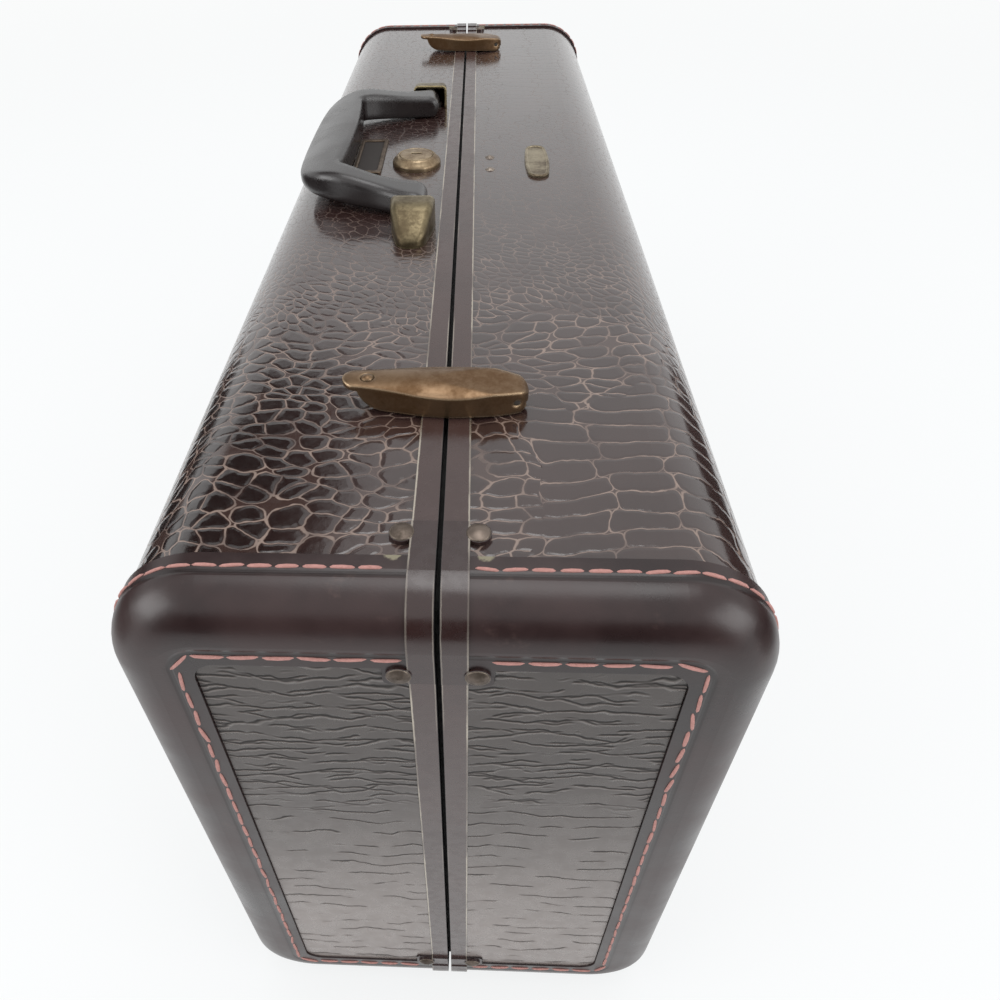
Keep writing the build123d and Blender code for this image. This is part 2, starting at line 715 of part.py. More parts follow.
def build_case():
    """Trays, covers, linings, rails, bindings, panels and straps of both halves."""
    pins, strap_holes = strap_rivets()
    corner_holes = []
    for hole in strap_holes:
        corner_holes.extend(four_corners(hole))
    glide_holes = [rod((glide_x, y, z_low - 1), (glide_x, y, z_low + 3.2), 1.2) for y in (-glide_y, glide_y)]
    hinge_holes = []
    for place in hinge_places:
        for y in hinge_rivet_spots(place):
            hinge_holes.append(rod((hinge_rivet_x, y, z_low - 4), (hinge_rivet_x, y, z_low + 3.2), 1.3))
    common = corner_holes + glide_holes + hinge_holes
    shell = pierce(make_shell(), common)
    cover = pierce(make_cover(), common)
    lining = make_lining()
    rail = pierce(make_rail(), [hinge_notch(place) for place in hinge_places])
    straps = four_corners(make_strap())
    drilled = []
    for strap in straps:
        drilled.append(pierce(strap, corner_holes))
    binding = pierce(make_binding(), corner_holes)
    panel = pierce(make_panel(), corner_holes)
    corner_rivets = []
    for pin in pins:
        corner_rivets.extend(four_corners(pin))

    bolts = []
    strike_holes = []
    for turn in (-0.5, 0.5):
        y = strike_rivet_y + turn * strike_rivet_pitch
        bolts.append(Pos(strike_rivet_x, y, z_top) * rivet(2.45, 1.1, 1.3, 5.7))
        strike_holes.append(rod((strike_rivet_x, y, z_top - 8), (strike_rivet_x, y, z_top + 1), 1.3))
    keep("lid_shell", pierce(shell, strike_holes))
    keep("lid_cover", pierce(cover, strike_holes))
    keep("lid_lining", pierce(lining, strike_holes))
    keep("lid_rail", rail)
    keep("lock_strike", pierce(make_strike(), strike_holes))
    keep("strike_rivets", *bolts)

    plug_hole = rod((lock_x, lock_y, z_top - 5), (lock_x, lock_y, z_top + 1), plug_shaft_radius + 0.6)
    case_room = slab((-33.2, -4), (-25.2, 7.2), (z_top - 16, z_top - wall))
    keep("base_shell", flip_x(shell) - plug_hole)
    keep("base_cover", flip_x(cover) - plug_hole)
    keep("base_lining", flip_x(lining) - case_room)
    base_rail = flip_x(rail + pierce(make_upstand(), [hinge_notch(place) for place in hinge_places]))
    lock_gap = slab((-9.2, -2.2), (-25.2, 7.2), (z_top - 4.8, z_top - wall))
    keep("base_rail", base_rail - lock_gap)

    for half, turn in (("lid", lambda shape: shape), ("base", flip_x)):
        keep(half + "_binding_near", turn(binding))
        keep(half + "_binding_far", turn(flip_y(binding)))
        keep(half + "_end_panel_near", turn(panel))
        keep(half + "_end_panel_far", turn(flip_y(panel)))
        keep(half + "_corner_straps", *[turn(strap) for strap in drilled])
        keep(half + "_strap_rivets", *[turn(pin) for pin in corner_rivets])
        keep(half + "_glides", *[turn(make_glide(glide_x, y)) for y in (-glide_y, glide_y)])


def build_hinges():
    """Two hinges under the seam."""
    for half, is_lid in (("base", False), ("lid", True)):
        side = 1 if is_lid else -1
        leaves = []
        rivets = []
        for place in hinge_places:
            leaf = make_hinge_leaf(place, is_lid)
            for y in hinge_rivet_spots(place):
                spot = (side * hinge_rivet_x, y, z_low - rail_proud - hinge_leaf_thick)
                rivets.append(Pos(*spot) * Rot(180, 0, 0) * rivet(2.6, 1.1, 1.3, 4.8))
                leaf -= rod((side * hinge_rivet_x, y, 0), (side * hinge_rivet_x, y, z_low + 1), 1.3)
            leaves.append(leaf)
        keep("hinge_" + half + "_leaves", *leaves)
        keep("hinge_" + half + "_rivets", *rivets)
    keep("hinge_pins", *[make_hinge_pin(place) for place in hinge_places])


def build_handle():
    """Handle, its trunnions, bearings and hoods."""
    hood = Pos(pivot_x, -hood_start, z_top) * make_hood()
    bearing = Pos(pivot_x, -hood_start, z_top) * make_bearing()
    keep("handle", make_handle())
    keep("handle_trunnions", make_trunnion(-1), make_trunnion(1))
    keep("handle_hood_near", hood)
    keep("handle_hood_far", flip_y(hood))
    keep("handle_bearings", bearing, flip_y(bearing))


def build_lock():
    """Lock parts on the base, and the small plates."""
    keep("lock_escutcheon", make_escutcheon())
    keep("lock_plug", make_plug())
    keep("lock_case", make_lock_case())
    keep("lock_bolt", make_bolt())
    keep("name_plate_frame", make_name_plate())
    keep("name_plate_insert", make_name_insert())
    keep("badge", make_badge())


def build_latches():
    """Two latches, each a lever with its hook on the lid and a catch on the base."""
    pins = []
    for name, place in zip(("near", "far"), latch_places):
        spot = Pos(0, place, z_top)
        keep("latch_lever_" + name, spot * make_lever())
        keep("latch_hook_" + name, spot * make_hook())
        keep("latch_rivet_" + name, spot * make_tail_rivet())
        keep("latch_catch_" + name, spot * make_catch())
        keep("latch_bracket_" + name, spot * make_bracket())
        pins.append(spot * make_latch_pin())
    keep("latch_pins", *pins)


def write_nodes():
    """Write one STEP file for each node."""
    os.makedirs("parts", exist_ok=True)
    for name, solids in nodes.items():
        shape = solids[0] if len(solids) == 1 else Compound(children=solids)
        shape.label = name
        export_step(shape, os.path.join("parts", name + ".step"))
        print(name, len(solids), round(sum(solid.volume for solid in solids), 1))


build_case()
build_hinges()
build_handle()
build_lock()
build_latches()
keep("lid_pocket", make_pocket())
keep("lid_pocket_band", make_pocket_band())
write_nodes()
print("nodes", len(nodes))
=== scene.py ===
# %% [markdown]
# # A hard-sided suitcase, dressed over its CAD frame
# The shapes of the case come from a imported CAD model: two trays of board with an embossed
# covering, leather bindings, a rail round each mouth, hinges, latches, a lock and a handle.
# This lesson gives them their surfaces, sews the bindings and hangs the cloth pocket inside.
# Everything is in metres, with X across the thickness, Y along the length and Z up.

# %% Load the frame
import math

import bmesh
import bpy
import numpy as np
from mathutils import Matrix, Vector


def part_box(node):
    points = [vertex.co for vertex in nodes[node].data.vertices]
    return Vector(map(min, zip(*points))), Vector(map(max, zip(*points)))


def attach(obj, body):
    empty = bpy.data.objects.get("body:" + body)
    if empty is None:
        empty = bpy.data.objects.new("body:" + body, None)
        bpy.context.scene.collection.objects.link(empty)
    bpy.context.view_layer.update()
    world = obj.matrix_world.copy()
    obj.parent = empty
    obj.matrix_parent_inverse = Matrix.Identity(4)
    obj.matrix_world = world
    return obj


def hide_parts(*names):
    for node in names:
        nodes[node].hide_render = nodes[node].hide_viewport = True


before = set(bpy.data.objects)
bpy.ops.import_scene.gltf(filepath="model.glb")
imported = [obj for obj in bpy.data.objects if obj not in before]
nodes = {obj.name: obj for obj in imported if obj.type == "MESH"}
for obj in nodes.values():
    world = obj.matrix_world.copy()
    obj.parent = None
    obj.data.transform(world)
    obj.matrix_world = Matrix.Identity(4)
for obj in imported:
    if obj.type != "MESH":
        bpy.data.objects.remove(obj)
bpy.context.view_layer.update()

scene = bpy.context.scene
MM = 0.001
MM_PER_METRE = 1000.0

# %% [markdown]
# ## Sizes that the dressing needs
# The stitches, worn edges and patterns are placed by the same measurements as the CAD pieces:
# the closed body is 178 mm thick and 274 mm tall, on glides 6.5 mm high, and a 1.3 mm binding
# stands proud round each end.

# %% Case sizes
HALF_THICK = 89.0 * MM
LOW = 6.5 * MM
TOP = 280.5 * MM
MIDDLE = (LOW + TOP) / 2
END = 296.7 * MM
BINDING = 1.3 * MM
OUTER_END = END + BINDING
EDGE_RADIUS = 27.5 * MM
ROW_INSET = 15.2 * MM
RING_SIDE = 20.5 * MM
RING_TOP = 16.6 * MM
RING_RADIUS = 7.0 * MM
print("body", round(2 * HALF_THICK, 3), round(2 * END, 4), round(TOP - LOW, 3))

# %% [markdown]
# ## Small helpers for materials
# Colours are picked as sRGB hex values, because that is what an eye compares with a picture, and
# Blender wants linear light. One function adds any node with its settings and links, so each
# material below reads from its coordinates to its shader.


# %% Material helpers
def linear(code):
    """An sRGB hex colour as linear red, green, blue and alpha."""
    parts = [int(code[i:i + 2], 16) / 255 for i in (1, 3, 5)]
    return tuple(c / 12.92 if c <= 0.04045 else ((c + 0.055) / 1.055) ** 2.4 for c in parts) + (1.0,)


def add(tree, kind, settings=None, **links):
    """Add a node. settings are its properties, and links go to its inputs by name or number."""
    node = tree.nodes.new("ShaderNode" + kind)
    for key, value in (settings or {}).items():
        setattr(node, key, value)
    for key, value in links.items():
        place = int(key[2:]) if key.startswith("in") and key[2:].isdigit() else key.replace("_", " ")
        socket = node.inputs[place]
        if isinstance(value, bpy.types.NodeSocket):
            tree.links.new(value, socket)
        else:
            socket.default_value = value
    return node


def new_material(name):
    """An empty node material with its Principled shader wired to the output."""
    material = bpy.data.materials.new(name)
    material.use_nodes = True
    tree = material.node_tree
    tree.nodes.clear()
    shader = add(tree, "BsdfPrincipled")
    output = add(tree, "OutputMaterial")
    tree.links.new(shader.outputs[0], output.inputs[0])
    return material, tree, shader


def maths(tree, operation, a, b=0.0, c=0.0, clamp=False):
    """One Math node's result."""
    return add(tree, "Math", {"operation": operation, "use_clamp": clamp}, in0=a, in1=b, in2=c).outputs[0]


def ramp(tree, value, low, high, out_low=0.0, out_high=1.0):
    """A value carried smoothly from one range to another and held at both ends."""
    settings = {"interpolation_type": "SMOOTHSTEP"}
    names = {"Value": value, "From_Min": low, "From_Max": high, "To_Min": out_low, "To_Max": out_high}
    return add(tree, "MapRange", settings, **names).outputs[0]


def blend(tree, amount, first, second):
    """Mix two colours, each a socket or a hex value."""
    first = linear(first) if isinstance(first, str) else first
    second = linear(second) if isinstance(second, str) else second
    node = add(tree, "Mix", {"data_type": "RGBA"}, in0=amount, in6=first, in7=second)
    return node.outputs[2]


def object_point(tree):
    """A point's place on its object, in metres."""
    return add(tree, "TexCoord").outputs["Object"]


def split_axes(tree, place):
    """The X, Y and Z of a point as three values."""
    return add(tree, "SeparateXYZ", Vector=place).outputs[:]


def from_zero(tree, value):
    """How far a coordinate in metres is from zero, in millimetres."""
    return maths(tree, "MULTIPLY", maths(tree, "ABSOLUTE", value), MM_PER_METRE)


def diagonal(tree, a, b):
    """The length of the diagonal whose two sides are a and b."""
    squares = maths(tree, "MULTIPLY_ADD", a, a, maths(tree, "MULTIPLY", b, b))
    return maths(tree, "SQRT", squares)


def wire(tree, source, shader, name):
    """Link a socket to one of the shader's inputs."""
    tree.links.new(source, shader.inputs[name])


def add_bump(tree, shader, strength, depth_mm, height, **links):
    """Shade a small relief of a given depth, from its height at each point."""
    bump = add(tree, "Bump", Strength=strength, Distance=depth_mm * MM, Height=height, **links)
    wire(tree, bump.outputs[0], shader, "Normal")


print("helpers ready")

# %% [markdown]
# ## The camera
# The photograph is a high three-quarter view down the length of the case. Its camera was found by
# fitting the corners and the seam: about 0.43 m above the floor and 0.41 m in front of the middle
# of the case, so close that the near end looms. A fixed camera matrix is better here than aiming
# by eye, because every later comparison depends on it.

# %% Camera
camera_data = bpy.data.cameras.new("camera")
camera = bpy.data.objects.new("camera", camera_data)
scene.collection.objects.link(camera)
right = Vector((0.99905261, 0.038445, -0.02039269))
down = Vector((0.00963102, -0.65229699, -0.75790229))
forward = Vector((-0.04243965, 0.75698786, -0.65204928))
turn = Matrix((right, -down, -forward)).transposed()
eye = Vector((0.008599, -0.409952, 0.432884))
camera.matrix_world = Matrix.Translation(eye) @ turn.to_4x4()
focal_share = 0.773335
camera_data.sensor_width = 36.0
camera_data.lens = focal_share * camera_data.sensor_width
camera_data.shift_x = 0.059215
camera_data.shift_y = -0.056149
camera_data.clip_start = 0.01
camera_data.clip_end = 50.0
scene.camera = camera
print("camera at", tuple(round(c, 3) for c in camera.location))

# %% [markdown]
# ## Floor, world and lamps
# The case stands on a sheet of white paper in a white world, and both look plain white to the
# camera and in every reflection, which gives the long sheen on the far top. Close to the case the
# paper shows a fifth of its own shading, which keeps the shadow, and farther out it is plain.
# Glossy dark things need something dark to mirror too, or their edges melt into the white. So
# three black cards stand behind the camera and on both sides, as a photographer would place them.
# A fourth hangs high over the far left, where the camera sees it mirrored in the near left of the
# top, which is the darkest part in the photograph. Only reflections see the cards. Soft lamps hang
# above, to the left and to the right.


# %% Lamps and finished objects
BACKGROUND_WHITE = "#fafbfb"


def add_lamp(name, place, aim, size, power):
    """A rectangular area lamp that looks at a point."""
    data = bpy.data.lights.new(name, "AREA")
    data.shape = "RECTANGLE"
    data.size, data.size_y = size
    data.energy = power
    lamp = bpy.data.objects.new(name, data)
    scene.collection.objects.link(lamp)
    lamp.location = place
    lamp.rotation_mode = "QUATERNION"
    lamp.rotation_quaternion = (Vector(aim) - Vector(place)).to_track_quat("-Z", "Y")


def finished_object(name, shape, material):
    """Turn a bmesh into an object of one material, and free the bmesh."""
    mesh = bpy.data.meshes.new(name)
    shape.to_mesh(mesh)
    shape.free()
    mesh.materials.append(material)
    piece = bpy.data.objects.new(name, mesh)
    scene.collection.objects.link(piece)
    return piece


print("background", BACKGROUND_WHITE)


# %% Paper, cards and world
def background_rays(tree):
    """1 for the rays that show the background: camera, glossy and transmission rays."""
    path = add(tree, "LightPath")
    seen = maths(tree, "ADD", path.outputs["Is Camera Ray"], path.outputs["Is Glossy Ray"])
    return maths(tree, "ADD", seen, path.outputs["Is Transmission Ray"], clamp=True)


def make_floor():
    """A sheet of white paper that looks white and still keeps the case's shadow."""
    floor_radius = 6.0
    fade_from, fade_to = 0.5, 2.5
    white_near, white_far = 0.8, 1.0
    shape = bmesh.new()
    bmesh.ops.create_circle(shape, cap_ends=True, segments=96, radius=floor_radius)
    material, tree, shader = new_material("matt_white_paper")
    shader.inputs["Base Color"].default_value = linear("#eff0f1")
    shader.inputs["Roughness"].default_value = 0.95
    shader.inputs["Specular IOR Level"].default_value = 0.1
    white = add(tree, "Emission", Color=linear(BACKGROUND_WHITE), Strength=1.0)
    x, y = split_axes(tree, object_point(tree))[:2]
    fade = ramp(tree, diagonal(tree, x, y), fade_from, fade_to, white_near, white_far)
    seen = maths(tree, "MULTIPLY", background_rays(tree), fade)
    mix = add(tree, "MixShader", in0=seen, in1=shader.outputs[0], in2=white.outputs[0])
    output = next(n for n in tree.nodes if n.type == "OUTPUT_MATERIAL")
    tree.links.new(mix.outputs[0], output.inputs[0])
    floor = finished_object("floor", shape, material)


def add_card(name, place, turn, size, tilt=90.0):
    """A black card where only reflections see it: upright, or flat overhead with no tilt."""
    shape = bmesh.new()
    bmesh.ops.create_grid(shape, x_segments=1, y_segments=1, size=0.5)
    stand = Matrix.Rotation(math.radians(turn), 4, "Z") @ Matrix.Rotation(math.radians(tilt), 4, "X")
    grow = Matrix.Diagonal((size[0], size[1], 1.0, 1.0))
    bmesh.ops.transform(shape, matrix=Matrix.Translation(place) @ stand @ grow, verts=shape.verts)
    material, _tree, shader = new_material(name + "_matt_black")
    shader.inputs["Base Color"].default_value = linear("#1c1a1a")
    shader.inputs["Roughness"].default_value = 0.9
    card = finished_object(name, shape, material)
    card.visible_camera = False
    card.visible_diffuse = False
    card.visible_shadow = False


def make_world():
    """A white world that lights a little less than it shows."""
    world = bpy.data.worlds.new("studio")
    scene.world = world
    world.use_nodes = True
    tree = world.node_tree
    tree.nodes.clear()
    lit = add(tree, "Background", Color=linear("#f3f6f8"), Strength=0.9)
    seen = add(tree, "Background", Color=linear(BACKGROUND_WHITE), Strength=1.0)
    mix = add(tree, "MixShader", in0=background_rays(tree), in1=lit.outputs[0], in2=seen.outputs[0])
    output = add(tree, "OutputWorld")
    tree.links.new(mix.outputs[0], output.inputs[0])


make_floor()
make_world()
add_card("card_behind_camera", (0.0, -1.1, 0.36), 0.0, (1.8, 0.68))
add_card("card_left", (-0.55, 0.0, 0.17), 90.0, (0.9, 0.32))
add_card("card_right", (0.55, 0.0, 0.17), 90.0, (0.9, 0.32))
add_card("card_overhead", (-0.62, 0.55, 1.05), 0.0, (0.8, 0.7), 0.0)
add_lamp("sky_lamp", (0.1, 0.1, 2.2), (0, 0, 0.2), (1.4, 1.0), 13.0)
add_lamp("left_lamp", (-1.4, -0.7, 0.8), (0, -0.1, 0.15), (1.0, 0.8), 9.0)
add_lamp("right_lamp", (1.3, -0.8, 0.8), (0, -0.2, 0.2), (1.0, 0.8), 8.0)
scene.view_settings.view_transform = "Standard"
print("stage, four cards and three lamps")

# %% [markdown]
# ## Embossed covering
# The covering is vinyl cloth, rolled hot under a reptile-skin plate and rubbed with a paler wax
# that stays in the grooves. So the eye sees glossy dark brown pads divided by fine tan lines.
# The distance to the edge of a pad draws both: close to the edge is the groove, and the distance
# itself is the height of the pad. A Voronoi texture gives it for the small and the oval pads: each
# pad is its cell cut by a circle round the cell's point, so that its corners are round and small
# three-sided spots are left between the pads. The broad blocks on the lid are two crossed rows
# with a soft corner, because a Voronoi net would tear such long cells apart. The pads are 4 to
# 23 mm across. The pattern lies on the unrolled skin, so it runs over the rounded long edges
# unbroken, though about a fifth tighter there.


# %% Unrolled coordinates
def unrolled(tree):
    """Distance round the section from the seam, and distance along the case, in millimetres."""
    x, y, z = split_axes(tree, object_point(tree))
    across = maths(tree, "ABSOLUTE", x)
    beyond = maths(tree, "SUBTRACT", 2 * HALF_THICK, across)
    upper = maths(tree, "GREATER_THAN", z, MIDDLE)
    first = maths(tree, "MULTIPLY", across, upper)
    second = maths(tree, "MULTIPLY", beyond, maths(tree, "SUBTRACT", 1.0, upper))
    drop = maths(tree, "SUBTRACT", TOP, z)
    around = maths(tree, "ADD", maths(tree, "ADD", first, second), drop)
    side = maths(tree, "SIGN", x)
    u = maths(tree, "MULTIPLY", maths(tree, "MULTIPLY", around, side), MM_PER_METRE)
    v = maths(tree, "MULTIPLY", y, MM_PER_METRE)
    return u, v


print("unrolled from the seam at X = 0")


# %% Pads and blocks
def noise(tree, vector, scale, detail=2.0, rough=0.5):
    """A noise value about 0.5."""
    node = add(tree, "TexNoise", {"noise_dimensions": "3D"},
               Vector=vector, Scale=scale, Detail=detail, Roughness=rough)
    return node.outputs[0]


def pads(tree, u, v, wide, long, randomness, reach):
    """Distance from the edge of an irregular pad with round corners, in millimetres."""
    column = maths(tree, "DIVIDE", u, wide)
    row = maths(tree, "DIVIDE", v, long)
    spot = add(tree, "CombineXYZ", X=column, Y=row).outputs[0]
    cells = {"Vector": spot, "Scale": 1.0, "Randomness": randomness}
    kinds = [{"feature": kind, "voronoi_dimensions": "2D"} for kind in ("DISTANCE_TO_EDGE", "F1")]
    side, middle = [add(tree, "TexVoronoi", kind, **cells).outputs["Distance"] for kind in kinds]
    corner = maths(tree, "SUBTRACT", reach, middle)
    inside = maths(tree, "SMOOTH_MIN", side, corner, 0.12)
    return maths(tree, "MULTIPLY", inside, min(wide, long))


def from_edge(tree, value, pitch):
    """Distance from the nearest edge of a repeating band, in millimetres."""
    phase = maths(tree, "SUBTRACT", maths(tree, "FRACT", maths(tree, "DIVIDE", value, pitch)), 0.5)
    return maths(tree, "MULTIPLY_ADD", maths(tree, "ABSOLUTE", phase), -pitch, pitch / 2)


def blocks(tree, u, v, wide, long):
    """Distance from the edge of a broad block with rounded corners, in millimetres."""
    row = maths(tree, "FLOOR", maths(tree, "DIVIDE", v, long))
    shift = maths(tree, "MULTIPLY", maths(tree, "SINE", maths(tree, "MULTIPLY", row, 2.3)), 0.1 * wide)
    across = from_edge(tree, maths(tree, "ADD", u, shift), wide)
    return maths(tree, "SMOOTH_MIN", across, from_edge(tree, v, long), 4.0)


def choose(tree, amount, first, second):
    """One value or another, by an amount from 0 to 1."""
    node = add(tree, "Mix", {"data_type": "FLOAT"}, in0=amount, in2=first, in3=second)
    return node.outputs[0]


def wavy(tree, flat, shift, scale, reach):
    """A smooth offset, mostly under half a reach each way and different for each shift."""
    step = (shift, 0.7 * shift, 0.0)
    moved = add(tree, "VectorMath", {"operation": "ADD"}, in0=flat, in1=step).outputs[0]
    return maths(tree, "MULTIPLY_ADD", noise(tree, moved, scale), 2 * reach, -reach)


print("pads, blocks and waves")

# %% [markdown]
# ## Where each kind of pad lies
# Small slanting pads cover most of the case, and ovals its near end. On the lid, broad blocks take
# their place at the near end and from a little past the middle to the far end. Each border is
# moved about by noise, and the whole net is bent by slow and quick waves, so that no row is
# straight.


# %% Pad zones
def pad_edges(tree, u, v, flat):
    """Distance from the edge of the pad or block at each point, in millimetres."""
    bend_u = maths(tree, "ADD", wavy(tree, flat, 0.0, 0.02, 12.0), wavy(tree, flat, 50.0, 0.13, 1.6))
    bend_v = maths(tree, "ADD", wavy(tree, flat, 311.0, 0.02, 12.0), wavy(tree, flat, 90.0, 0.13, 1.6))
    wu = maths(tree, "ADD", u, bend_u)
    wv = maths(tree, "ADD", v, bend_v)
    slant = maths(tree, "MULTIPLY_ADD", u, 0.35, wv)
    small = pads(tree, wu, slant, 5.4, 4.4, 0.85, 0.7)
    ovals = pads(tree, wu, wv, 9.2, 5.6, 0.8, 0.64)
    broad = blocks(tree, wu, wv, 23.0, 7.7)

    patch = maths(tree, "MULTIPLY_ADD", noise(tree, flat, 0.02, 2.0), 70.0, -35.0)
    moved_v = maths(tree, "ADD", v, patch)
    moved_u = maths(tree, "ADD", u, maths(tree, "MULTIPLY", patch, 0.6))
    lid_from, ovals_to, near_rows_to, far_rows_from, border = 21.0, -165.0, -205.0, 60.0, 1.0
    on_lid = ramp(tree, moved_u, lid_from, lid_from + border)
    near = ramp(tree, moved_v, ovals_to, ovals_to + border, 1.0, 0.0)
    near_rows = ramp(tree, moved_v, near_rows_to, near_rows_to + border, 1.0, 0.0)
    far_rows = ramp(tree, moved_v, far_rows_from, far_rows_from + border)
    broad_zone = maths(tree, "MULTIPLY", on_lid, maths(tree, "ADD", near_rows, far_rows, clamp=True))
    return choose(tree, broad_zone, choose(tree, near, small, ovals), broad)


print("pad zones")

# %% [markdown]
# ## Wax, painted shade and gloss
# The wax is a thin coat over the vinyl. In the photograph its lines fade along the top toward the
# far end, and the sides keep them, so the wax and the depth of the pads follow both. The near left
# of the top has painted shade: its pads are painted darker. The index of refraction is 1.66, above
# vinyl's 1.54, for the strong sheen in the photograph.


# %% Embossed vinyl
def groove_mask(tree, edge, speckle):
    """1 in the grooves, whose half width follows the speckle from 0.02 to 0.48 mm."""
    half_line = maths(tree, "MULTIPLY_ADD", speckle, 0.46, 0.02)
    off_line = maths(tree, "DIVIDE", maths(tree, "ABSOLUTE", edge), half_line)
    return ramp(tree, off_line, 0.3, 1.1, 1.0, 0.0)


def painted_shade_mask(tree, u, v):
    """How much painted shade darkens the pads: most at the near left of the top, fading at each border."""
    left = ramp(tree, u, -60.0, -15.0, 0.75, 0.0)
    near = ramp(tree, v, -235.0, -135.0, 1.0, 0.0)
    above = ramp(tree, u, -190.0, -90.0)
    return maths(tree, "MULTIPLY", maths(tree, "MULTIPLY", left, near), above)


def embossed_vinyl():
    """Glossy embossed vinyl with waxed grooves."""
    material, tree, shader = new_material("embossed_vinyl_waxed")
    u, v = unrolled(tree)
    flat = add(tree, "CombineXYZ", X=u, Y=v).outputs[0]
    edge = pad_edges(tree, u, v, flat)
    speckle = noise(tree, flat, 0.2, 3.0, 0.6)
    groove = groove_mask(tree, edge, speckle)
    on_side = ramp(tree, maths(tree, "ABSOLUTE", u), 78.0, 120.0)
    worn = maths(tree, "MAXIMUM", ramp(tree, v, -210.0, -40.0, 1.0, 0.22),
                 maths(tree, "MULTIPLY", on_side, 0.75))
    patches = ramp(tree, noise(tree, flat, 0.05, 3.0), 0.34, 0.58, 0.15, 1.0)
    waxed = maths(tree, "MULTIPLY", worn, patches)

    pad_colour = blend(tree, noise(tree, flat, 0.03, 4.0), "#241716", "#3c2b28")
    # Painted shade: the pads at the near left of the top are darkened.
    pad_colour = blend(tree, painted_shade_mask(tree, u, v), pad_colour, "#140b0a")
    rim = maths(tree, "MULTIPLY", ramp(tree, edge, -0.1, 0.7, 1.0, 0.0), worn)
    pad_colour = blend(tree, maths(tree, "MULTIPLY", rim, 0.6), pad_colour, "#46342f")
    wax_colour = blend(tree, speckle, "#5f4d45", "#917c70")
    colour = blend(tree, maths(tree, "MULTIPLY", groove, waxed), pad_colour, wax_colour)
    wire(tree, colour, shader, "Base Color")
    rough = ramp(tree, noise(tree, flat, 0.3, 3.0), 0.3, 0.7, 0.11, 0.2)
    wire(tree, maths(tree, "MULTIPLY_ADD", groove, 0.25, rough), shader, "Roughness")
    shader.inputs["IOR"].default_value = 1.66
    shader.inputs["Coat Weight"].default_value = 0.35
    shader.inputs["Coat Roughness"].default_value = 0.12

    pillow = ramp(tree, edge, 0.0, 1.3)
    kept = maths(tree, "MAXIMUM", ramp(tree, v, -200.0, -60.0, 1.0, 0.1),
                 maths(tree, "MULTIPLY", on_side, 0.7))
    depth = maths(tree, "MULTIPLY", pillow, kept)
    height = maths(tree, "MULTIPLY_ADD", noise(tree, flat, 0.7, 3.0), 0.16, depth)
    add_bump(tree, shader, 0.5, 0.26, height)
    return material


covering = embossed_vinyl()
print("covering", len(covering.node_tree.nodes), "nodes")

# %% [markdown]
# ## End panels
# The panels at the ends are the same vinyl, cut across the skin, where the plate drew long
# horizontal creases: two families about 5 and 6 mm apart in the top third, and sparse rows about
# 9 mm apart over the whole panel. The two families lean differently, so that they meet and part as
# real creases do, and keep an even width, which a stretched Voronoi net would not. Each crease's
# valley gets painted shade, near black. The same lines are drawn twice, the second time 0.9 mm lower
# and pale, as a painted highlight on the lip that catches the light. Toward the foot the vinyl is
# painted paler and greyer, a painted reflection of the white floor.


# %% End panel material
def crease_family(tree, flat, across, down, pitch, lean, seed, line):
    """Broken, wavy creases a set distance apart, 1 in the middle of each crease."""
    slope = maths(tree, "MULTIPLY_ADD", across, lean, down)
    slope = maths(tree, "ADD", slope, wavy(tree, flat, seed, 0.04, 7.0))
    slope = maths(tree, "ADD", slope, wavy(tree, flat, seed + 40.0, 0.14, 1.6))
    gap = from_edge(tree, slope, pitch)
    mark = ramp(tree, gap, 0.1 * line, line, 1.0, 0.0)
    stretched = add(tree, "Mapping", Vector=flat, Location=(seed, seed, 0.0), Scale=(0.055, 0.16, 1.0))
    kept = ramp(tree, noise(tree, stretched.outputs[0], 1.0, 1.0), 0.46, 0.54)
    return maths(tree, "MULTIPLY", mark, kept)


def crease_lines(tree, across, down):
    """Fine creases: two crossing families near the top of the panel and sparse rows all over."""
    flat = add(tree, "CombineXYZ", X=across, Y=down).outputs[0]
    first = crease_family(tree, flat, across, down, 4.9, 0.14, 0.0, 0.75)
    second = crease_family(tree, flat, across, down, 6.1, -0.08, 170.0, 0.65)
    moved = maths(tree, "ADD", down, wavy(tree, flat, 120.0, 0.03, 22.0))
    upper = ramp(tree, moved, 84.0, 104.0, 1.0, 0.0)
    net = maths(tree, "MULTIPLY", maths(tree, "MAXIMUM", first, second), upper)
    rows = crease_family(tree, flat, across, down, 8.6, 0.0, 430.0, 0.65)
    return maths(tree, "MAXIMUM", net, rows)


